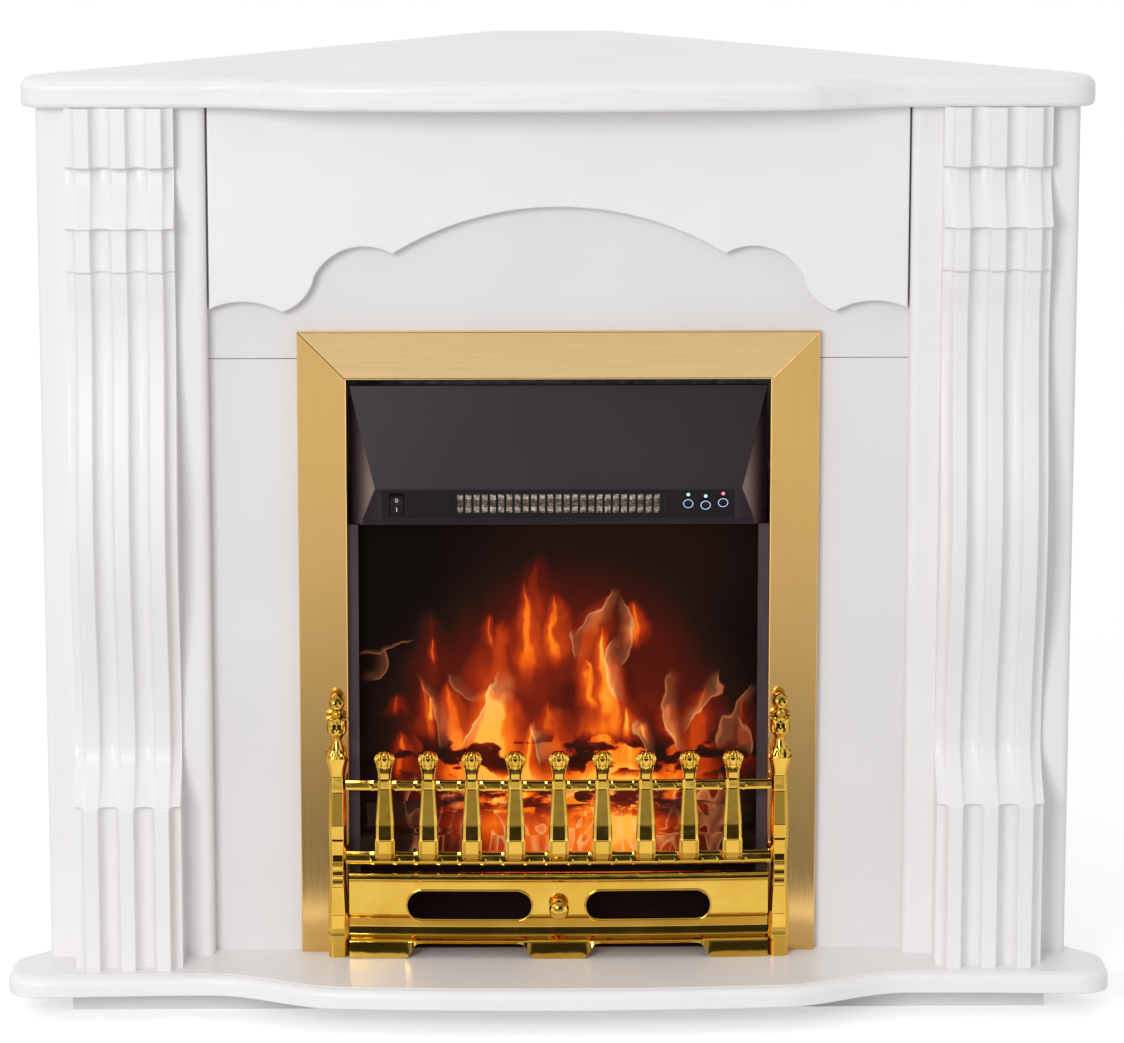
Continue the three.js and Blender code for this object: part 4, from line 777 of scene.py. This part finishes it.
# Foot x and height, tip x and height, half width, warmth and whether it floats, in mm above the hearth.
tongues = [
    (-37, 250, -31, 366, 15, 0.64, 1), (-10, 268, -4, 350, 13, 0.62, 1), (-24, 300, -20, 392, 22, 0.3, 1),
    (-62, 288, -71, 336, 7, 0.56, 1), (-121, 276, -122, 314, 8, 0.74, 1), (-120, 250, -126, 336, 26, 0.3, 1),
    (79, 294, 76, 344, 10, 0.78, 1), (-125, 222, -126, 254, 9, 0.8, 1), (-160, 226, -160, 254, 9, 0.52, 1),
    (-72, 168, -62, 266, 34, 0.97, 0), (-96, 170, -104, 270, 20, 0.66, 0), (-118, 190, -136, 272, 14, 0.5, 0),
    (56, 168, 38, 322, 24, 0.86, 0), (34, 225, 24, 290, 12, 0.74, 1), (62, 168, 66, 246, 20, 0.9, 0),
    (82, 170, 80, 226, 11, 0.96, 0), (-30, 176, -24, 222, 9, 0.8, 0), (-148, 176, -150, 212, 12, 0.66, 0),
    (150, 180, 146, 262, 22, 0.46, 0), (118, 180, 112, 246, 20, 0.46, 0), (182, 190, 184, 250, 15, 0.42, 0),
    (-2, 196, -10, 240, 20, 0.5, 0), (10, 250, 40, 352, 22, 0.36, 1), (-60, 226, -56, 330, 30, 0.4, 1),
]
tongues = [(*shape, *((0.0, 0.45) if floats else (-0.7, 0.1))) for *shape, floats in tongues]
# Foot x and height, tip x and height, bend between them, which side the veil hangs and how strong.
strands = [
    (-102, 200, -60, 276, 8, 1, 1.0), (-78, 244, -104, 276, -5, 1, 0.6), (-112, 196, -146, 276, 10, 1, 0.5),
    (12, 292, 6, 320, -3, 1, 0.7), (6, 310, 46, 362, 7, 1, 0.8), (57, 276, 58, 354, 17, -1, 0.8),
    (54, 246, 58, 316, -11, 1, 0.9), (128, 190, 114, 276, -12, 1, 0.9), (131, 214, 158, 278, 12, -1, 0.9),
    (166, 196, 194, 262, -12, 1, 0.8), (184, 190, 172, 236, 10, -1, 0.7), (-200, 294, -146, 310, 0, -1, 0.8),
    (-192, 266, -184, 304, 14, -1, 0.6), (-16, 180, -31, 222, 4, 1, 1.0), (84, 184, 76, 232, -5, 1, 0.8),
]


def above_hearth(place):
    """Height above the hearth plate, in millimetres."""
    return place.axes()[2] * 1000 - HEARTH_TOP


def greatest(group, across, height, table):
    """The greatest of a node group's results over the rows of a table of tongues or strands."""
    found = None
    for foot_x, foot_z, tip_x, tip_z, *rest in table:
        values = (across, height, foot_x, foot_z, tip_x - foot_x, tip_z - foot_z, *rest)
        one = across.node("Group", {"node_tree": group}, dict(enumerate(values)))
        found = found.most(one) if found else one
    return found


def fire_pattern(place):
    """Heat, 0 to 1, pale threads, and where the picture ends. Heat is the tongues with a glow, embers and
    haze round them, less the dark logs. Threads are the strands and, low down, the folds of a noise."""
    x, level = place.axes()[0], above_hearth(place)
    broad = place.noise(13.0, 1.0, (1.0, 1.0, 0.6))
    fine = place.noise(48.0, 2.0, (1.0, 1.0, 0.55))
    lifted = place.node("Mapping", None, {"Vector": place, "Location": (3.0, 1.0, 7.0)})
    across = x * 1000 + (broad - 0.5) * 34 + (fine - 0.5) * 26
    height = level + (lifted.noise(22.0, 3.0) - 0.5) * 34

    def oval(middle_x, middle_z, half_wide, half_high):
        """1 at an oval's middle, 0 on its edge: 1 - sqrt(dx^2 + dz^2)."""
        wide, high = (x * 1000 - middle_x) * (1 / half_wide), (level - middle_z) * (1 / half_high)
        return 1 - (wide ** 2.0 + high ** 2.0) ** 0.5

    glow, haze = oval(5, 200, 225, 220), oval(50, 390, 190, 130)
    embers = level.rise(186.0, 164.0) * abs(x * 1000 - 30).rise(160.0, 40.0)
    column = place.noise(34.0, 3.0, (1.0, 1.0, 0.3))
    smoke = place.noise(26.0, 2.0, (1.0, 1.0, 0.5))
    heat = greatest(tongue_group, across, height, tongues) * (column * 0.62 + 0.5)
    heat = heat + glow.rise(0.02, 0.62) * (smoke * 0.42 + 0.12)
    heat = heat + embers * (column * 0.8 + 0.02) + haze.rise(0.0, 0.7) * 0.08
    logs = place.noise(30.0, 3.0, (0.9, 1.0, 1.5)).rise(0.5, 0.56) * level.rise(164.0, 182.0)
    heat = heat * (1 - logs * level.rise(222.0, 196.0) * 0.8)
    curled = {"Vector": place.node("Mapping", None, {"Vector": place, "Scale": (1.0, 1.0, 0.42)}),
              "Scale": 30.0, "Detail": 1.0, "Distortion": 1.2}
    fold = place.node("TexNoise", None, curled) - 0.5
    veil = fold.rise(-0.012, 0.004) * (fold.rise(0.12, 0.0) * 0.6 + fold.rise(0.03, 0.006) * 0.4)
    under = level.rise(178.0, 160.0) * abs(x).rise(0.185, 0.16)
    inside = abs(x).rise(0.2, 0.17) * level.rise(84.0, 96.0)
    threads = greatest(strand_group, across, height, strands).most(veil * under * 0.8 * inside)
    return heat, threads, inside


def flame_colours(heat, threads):
    """Black through maroon, red and orange to straw, with tan threads laid over."""
    tone = heat.colours((0.0, (0.003, 0.0012, 0.0008)), (0.1, (0.014, 0.004, 0.0015)),
                        (0.3, (0.085, 0.005, 0.001)), (0.46, (0.25, 0.015, 0.0015)),
                        (0.62, (0.52, 0.045, 0.002)), (0.78, (0.9, 0.13, 0.004)),
                        (0.92, (1.0, 0.27, 0.01)), (1.0, (1.0, 0.46, 0.05)))
    pale = heat.rise(0.3, 0.85).mixed((0.55, 0.17, 0.06), (1.0, 0.6, 0.2))
    return (threads * 0.75).mixed(tone, pale)


def flame_look(place):
    """The pattern as light from within a smoked pane."""
    heat, threads = fire_pattern(place)[:2]
    tone = flame_colours(heat * above_hearth(place).rise(88.0, 100.0), threads)
    pane = heat.mixed((0.004, 0.003, 0.003), (0.015, 0.008, 0.006))
    return {"Base Color": pane, "Emission Color": tone}


def ember_look(place):
    """The same light on charred bark: dim on the logs' crust and bright between them."""
    heat, threads, inside = fire_pattern(place)
    crust = place.noise(60.0, 5.0, (0.6, 1.0, 1.4), 0.62)
    char = above_hearth(place).rise(120.0, 150.0) * crust.rise(0.36, 0.56)
    tone = flame_colours(heat * (1 - char * 0.8) * inside, threads * inside * (1 - char))
    bark = crust.colours((0.3, (0.012, 0.008, 0.006)), (0.7, (0.04, 0.022, 0.015)))
    return {"Base Color": bark, "Emission Color": tone, "Normal": crust.bump(0.003, 0.9)}


lit = {"Roughness": 0.3, "Specular IOR Level": 0.02, "Emission Strength": 1.0}
coat(finish("flame_panel", lit, flame_look), "flame_screen")
coat(finish("fuel_bed", lit | {"Roughness": 0.8}, ember_look), "fuel_bed")


def circuit_look(place):
    """Green board with copper tracks and pale parts."""
    track = place.node("TexBrick", None, {"Vector": place, "Scale": 90.0}, "Fac")
    part = place.noise(120.0, 1.0).rise(0.62, 0.66)
    green = track.mixed((0.015, 0.09, 0.04), (0.05, 0.16, 0.07))
    return {"Base Color": part.mixed(green, (0.35, 0.33, 0.28)), "Normal": part.bump(0.001, 0.5)}


coat(finish("circuit_board", {"Roughness": 0.45}, circuit_look), "light_board", "control_board")


# ---- Fret: rails, bars, posts and finials ----
# Cast brass, polished and lacquered. Nine bars with clawed tops stand before two bowed rails between
# two square posts with urn finials. The whole fret lifts away from the hearth.
def polished_look(place):
    """Polished brass: a mirror with faint waves of the casting and a little tarnish."""
    wave = place.noise(60.0, 1.0)
    cloud = place.noise(22.0, 3.0)
    tone = cloud.colours((0.3, (0.7, 0.41, 0.05)), (0.7, (0.83, 0.52, 0.09)))
    return {"Base Color": tone, "Roughness": cloud * 0.06 + 0.03, "Normal": wave.bump(0.0004, 0.25)}


polished_brass = finish("polished_brass", {"Metallic": 1.0}, polished_look)


def make_brass(name, shells, body, stands_for, crease=30, modifiers=()):
    """A piece of polished brass, from shells of (points, faces)."""
    shells = [(*shell, 0) for shell in shells]
    make(name, shells, [polished_brass], body, stands_for, crease, modifiers)


def rounded(corners, radius, steps=4):
    """A closed polygon whose corners are quadratic curves that start radius before each."""
    corners = np.asarray(corners, float)
    to_before, to_after = np.roll(corners, 1, axis=0) - corners, np.roll(corners, -1, axis=0) - corners

    def part(way):
        length = np.linalg.norm(way, axis=1)[:, None]
        return way * np.minimum(radius / length, 0.42)

    t = np.linspace(0, 1, steps + 1)[None, :, None]
    before, after = corners + part(to_before), corners + part(to_after)
    curve = before[:, None] * (1 - t) ** 2 + corners[:, None] * 2 * t * (1 - t) + after[:, None] * t**2
    return curve.reshape(-1, 2)


POST_X, POST_Y, POST_INNER, RAIL_HALF = 217.5, -22.0, 209.2, 3.0
BAR_PITCH = 42.7


def bow_at(x):
    """How far the fret's rails bow forward of the posts: 6 * (1 - (x / 209.2)^2)."""
    return 6 * (1 - (np.asarray(x, float) / POST_INNER) ** 2)


eight = [(0.5, -0.25), (0.5, 0.25), (0.32, 0.5), (-0.32, 0.5), (-0.5, 0.25), (-0.5, -0.25),
         (-0.32, -0.5), (0.32, -0.5)]
octagon = rounded(eight, 0.05, 3)
bar_x = (np.arange(9) - 4) * BAR_PITCH
x = np.linspace(-POST_INNER, POST_INNER, 420)
near = np.min(np.abs(x[:, None] - bar_x), axis=1)[:, None]
collar = 1 + 0.1 * np.exp(-((near - 11) / 1.6) ** 2)
section = [(-1, -0.5), (-0.7, -1), (0.7, -1), (1, -0.5), (1, 0.5), (0.7, 1), (-0.7, 1), (-1, 0.5)]
deep, high = rounded(section, 0.12, 3).T
press = 1 / (1 + np.exp(-(near - 14) / 0.35)) * (np.abs(high) < 0.45) * (deep < 0)
y = POST_Y - bow_at(x)[:, None] + deep * RAIL_HALF * collar + 0.5 * press
for name, low, top in (("low", 93.5, 106.5), ("top", 168.5, 178.5)):
    z = (low + top) / 2 + high * (top - low) / 2 * collar + HEARTH_TOP
    make_brass(f"rail_{name}", [swept(joined(x[:, None], y, z))], "fret", [f"fret_rail_{name}"])

bar_rows = [(99.5, 16, 5, 2.5), (102, 19, 7, 3.5), (107, 19.2, 8, 5.6), (121, 19.2, 7, 9.2),
            (136, 18.4, 6, 8), (158, 15.2, 6, 5), (172, 13.2, 6, 3.1), (181, 12.4, 6, 3),
            (188, 12.8, 6.5, 4.2), (197, 16.4, 8, 5), (203.5, 19.6, 9, 6), (207.5, 16, 8, 6.5),
            (209.5, 9, 4, 6.5)]
claw_ring = np.concatenate((rounded(eight[:6], 0.05, 3), joined(np.linspace(-0.32, 0.32, 41), -0.5)))


def clawed_bar(middle):
    """A bar's rows of (width, thickness, forward) round the octagon. Over its top 20 mm the front is five
    knuckles, |cos| waves across the width that swell forward and up, with creases between them."""
    z, width, thick, forward = (row[:, None] for row in blend(bar_rows, 0.7, 240))
    across, out = claw_ring.T
    claw = np.clip((z - 190.5) / 6, 0, 1) ** 1.5
    tip = np.clip((z - 201) / 8.5, 0, 1)
    knuckle = np.abs(np.cos(2.5 * np.pi * across)) ** 0.6
    crease = 1 - knuckle
    front = POST_Y - max(bow_at(middle + BAR_PITCH / 4), bow_at(middle - BAR_PITCH / 4)) - RAIL_HALF
    swell = (out < 0) * claw * (1.2 * np.sin(np.pi * np.clip((z - 192) / 17, 0, 1)) - 2.2 * crease)
    y = front - 0.3 - np.maximum(forward, thick / 2) + out * thick - swell
    height = z + tip * (1.6 * knuckle - 1.8 * crease * (out < 0) - 1.2 * (2 * across) ** 2)
    x = middle + across * width * (1 + 0.05 * claw)
    return joined(x, y, np.minimum(height, 210.4) + HEARTH_TOP)


for number, middle in enumerate(bar_x):
    make_brass(f"bar_{number + 1}", [swept(clawed_bar(middle))], "fret", [f"fret_bar_{number + 1}"])

post_rows = [(0, 19.2, 19), (14, 19.2, 19), (15.5, 20, 18.5), (18, 21.5, 20), (22, 21.5, 20), (26, 21, 18.6),
             (28, 20.4, 19.8), (44, 20.4, 20), (72, 16.6, 16.4), (75, 16.6, 17.4), (79, 16, 15.6),
             (83, 16, 16.4), (88, 15.8, 15.2), (93, 16, 16.6), (97, 16.2, 15.4), (107, 16.8, 16.4),
             (120, 18, 18.8), (134, 17.5, 17.8), (168, 15.8, 14),
             (182.5, 14.7, 12), (193.5, 18.3, 16), (201.3, 23, 20)]
finial_rows = [(201.3, 10.4), (204.5, 10), (210, 7.2), (215, 5.4), (219, 4.2), (221.5, 5.4), (226, 8.6),
               (231, 9.6), (237, 9.8), (238.5, 9.4), (240, 10.6), (241.5, 10), (243, 6.4), (246, 4.4),
               (248.5, 4.2), (251, 6.6), (255, 7.7), (259, 7.5), (262.5, 5.4), (265, 2.4), (265.6, 0)]


def finial_ripple(height, angle):
    """Leaves on the flared foot, fluted urn under a notched rim, and a cleft in the ball on top."""
    foot = np.exp(-((height - 205) / 4.5) ** 2) * 0.1 * np.cos(8 * angle)
    urn = np.exp(-((height - 228) / 6) ** 2) * 0.05 * np.cos(12 * angle)
    rim = np.exp(-((height - 240.5) / 1.8) ** 2) * 0.13 * np.cos(10 * angle)
    ball = np.exp(-((height - 257) / 5) ** 2) * 0.09 * np.cos(4 * angle + 0.35 * height)
    return foot + urn + rim + ball - 0.1 * np.exp(-((height - 205) / 4.5) ** 2) - 0.02


z, width, deep = (row[:, None] for row in blend(post_rows, 0.5, 260))
back = np.interp(z, [104, 118, 134, 166, 182, 194], [0, -0.8, -0.8, 2.8, 2.8, 0])
height, radius = blend(finial_rows, 0.5, 180)
radius[-1] = 0
for name, side in SIDES:
    post = joined(side * POST_X + octagon[:, 0] * width, POST_Y + back + octagon[:, 1] * deep, z + HEARTH_TOP)
    make_brass(f"post_{name}", [swept(post)], "fret", [f"fret_post_{name}"])

    def at_post(across, along, height):
        """Places a turned form upright over this post."""
        return joined(side * POST_X + across, POST_Y + along, height + HEARTH_TOP)

    urn = turned(joined(height, radius), at_post, finial_ripple, 72)
    make_brass(f"urn_{name}", [urn], "fret", [f"finial_{name}"])

# ---- Ash-pan cover and knob ----
# A bowed casting that hides the ash pan: a bead along its top, a flat face with two long slots, a cove
# and a skirt cut away between its feet. Its knob draws it forward.
SLOT_X, SLOT_Z, SLOT_HALF, SLOT_RADIUS = 88.0, 53.5, 46.5, 15.0
cover_front = [(28, 87), (33, 86), (33, 79.5), (29.4, 78), (30.7, 44), (26, 40), (22.5, 31), (23.5, 22),
               (31, 17), (33, 0)]
cover_back = [(28, 0), (27, 14), (19, 20), (18, 31), (22, 42), (25, 46), (25, 87)]
forward, height = rounded(cover_front + cover_back, 1.3, 4).T
half_wide, skirt_top, cut_high, cut_half = 206.4, 17, 15.5, 57
x = np.linspace(-half_wide, half_wide, 276)[:, None]
cut = 1 / (1 + np.exp((np.abs(np.abs(x) - SLOT_X) - cut_half) / 1.8)) * cut_high
low = np.where(height < skirt_top, cut + (skirt_top - cut) * height / skirt_top, height)
cover = swept(joined(x, -forward - bow_at(x), low + HEARTH_TOP))


def slot_ring(side, radius, steps=20):
    """Outline of a slot with round ends as (x, z) points round it."""
    turn = np.linspace(-np.pi / 2, np.pi / 2, steps)
    right = joined(SLOT_HALF + radius * np.cos(turn), radius * np.sin(turn))
    return np.concatenate((right, -right)) + (side * SLOT_X, SLOT_Z)


cutters = []
for side in (-1, 1):
    x, z = slot_ring(side, SLOT_RADIUS).T
    points, faces = swept(joined(x, np.array([[-60.0], [-10.0]]), z + HEARTH_TOP))
    cutters.append(new_piece("slot_cutter", points, faces, [0] * len(faces)))
cuts = [("BOOLEAN", {"object": cutter, "operation": "DIFFERENCE", "solver": "EXACT"}) for cutter in cutters]
make_brass("ash_cover", [cover], "ash_pan", ["ash_pan_cover"], 30, cuts)
for cutter in cutters:
    bpy.data.objects.remove(cutter)

rims = []
rim_round, turn = 1.1, np.linspace(0, 2 * np.pi, 12, endpoint=False)
for side in (-1, 1):
    path = slot_ring(side, SLOT_RADIUS + 0.6)
    x, z, way_x, way_z = (row[:, None] for row in (*path.T, *along_ring(path).T))
    face = -30 - bow_at(x) - rim_round * np.sin(turn) + 0.1
    out = np.cos(turn) * rim_round
    tube = joined(x + way_z * out, face, z - way_x * out + HEARTH_TOP)
    rims.append(swept(np.concatenate((tube, tube[:1])), False))
make_brass("slot_rims", rims, "ash_pan", [], 40)

knob_rows = [(0, 0), (0.01, 7.5), (2, 8), (4, 5), (7, 4.2), (10, 8.6), (14, 10), (18, 8.2), (20.5, 4),
             (21, 0)]
height, radius = blend(knob_rows, 0.4, 90)
radius[0] = radius[-1] = 0


def before_cover(across, along, height):
    """Places a turned form level, standing out from the cover's middle."""
    return joined(across, -36.3 - height, SLOT_Z + along + HEARTH_TOP)


make_brass("pull_knob", [turned(joined(height, radius), before_cover)], "ash_pan", ["cover_knob"])

# ---- Floor, lights and surroundings ----
# A plain pale floor that runs to white, a broad soft light from the upper left and a weak fill. Mirrors
# see a studio of bright boxes and a band near the floor; matt faces see an even, soft sky.
floor_mesh = bpy.data.meshes.new("floor")
floor_half, floor_front, floor_back = 8.0, -0.5, 12.0
floor_mesh.from_pydata([(-floor_half, floor_front, 0), (floor_half, floor_front, 0),
                        (floor_half, floor_back, 0), (-floor_half, floor_back, 0)], [], [(0, 1, 2, 3)])
placed("floor", floor_mesh)


def floor_look(place):
    """Pale floor with a faint mottle; seen straight, through glass or in a mirror it is lifted to white."""
    tone = place.noise(3.0, 2.0).colours((0.3, (0.8, 0.8, 0.8)), (0.7, (0.82, 0.82, 0.82)))
    lift = place.ray("Camera", "Glossy", "Transmission").mixed((0.0, 0.0, 0.0), (1.0, 1.0, 1.0))
    return {"Base Color": tone, "Emission Color": lift}


floor_mesh.materials.append(finish("floor", {"Roughness": 0.9, "Emission Strength": 0.42}, floor_look))

world = bpy.data.worlds.new("studio")
bpy.context.scene.world = world
world.use_nodes = True
sky = world.node_tree.nodes["Background"]
light = Wire(world.node_tree)
east, north, up = light.node("TexCoord", output="Generated").axes()
behind = north.rise(-0.05, 0.25)
band = up.rise(-0.262, -0.212) * up.rise(-0.09, -0.13) + up.rise(-0.04, 0.02) * up.rise(0.16, 0.09) * 0.36
left_box = east.rise(-0.3, -0.5) * up.rise(0.3, 0.42) * up.rise(0.75, 0.6)
sides = abs(east).rise(0.68, 0.85) * up.rise(-0.45, -0.3) * up.rise(0.45, 0.25)
studio = behind + band + left_box * 1.3 + sides * 0.8 + up.rise(0.45, 0.9) * 0.6 + up.rise(-0.45, -0.85) * 0.6
soft = up.rise(-0.9, 0.6) * 0.16 + up.rise(0.3, 0.9) * 0.26 + up.rise(-0.1, -0.8) * 0.24 + 0.41
soft = soft - east.rise(-0.5, 0.9) * 0.1
around = light.ray("Glossy").mixed(soft, studio + 0.03)
around = light.ray("Camera", "Transmission").mixed(around, (1.0, 1.0, 1.0))
world.node_tree.links.new(around.socket, sky.inputs["Color"])


def lamp(name, spot, aim, size, power):
    """A square soft light at spot, turned to aim."""
    data = bpy.data.lights.new(name, "AREA")
    data.size, data.energy = size, power
    made = placed(name, data)
    made.location = spot
    way = np.array(aim, float) - np.array(spot, float)
    level = math.hypot(way[0], way[1])
    made.rotation_euler = (math.atan2(level, -way[2]), 0, math.atan2(way[1], way[0]) - math.pi / 2)


lamp("key", (-1.5, -4.1, 1.85), (0.0, 0.0, 0.45), 1.5, 86)
lamp("fill", (3.4, -3.0, 1.4), (0.0, 0.0, 0.45), 2.4, 8)

bpy.context.scene.view_settings.view_transform = "Standard"
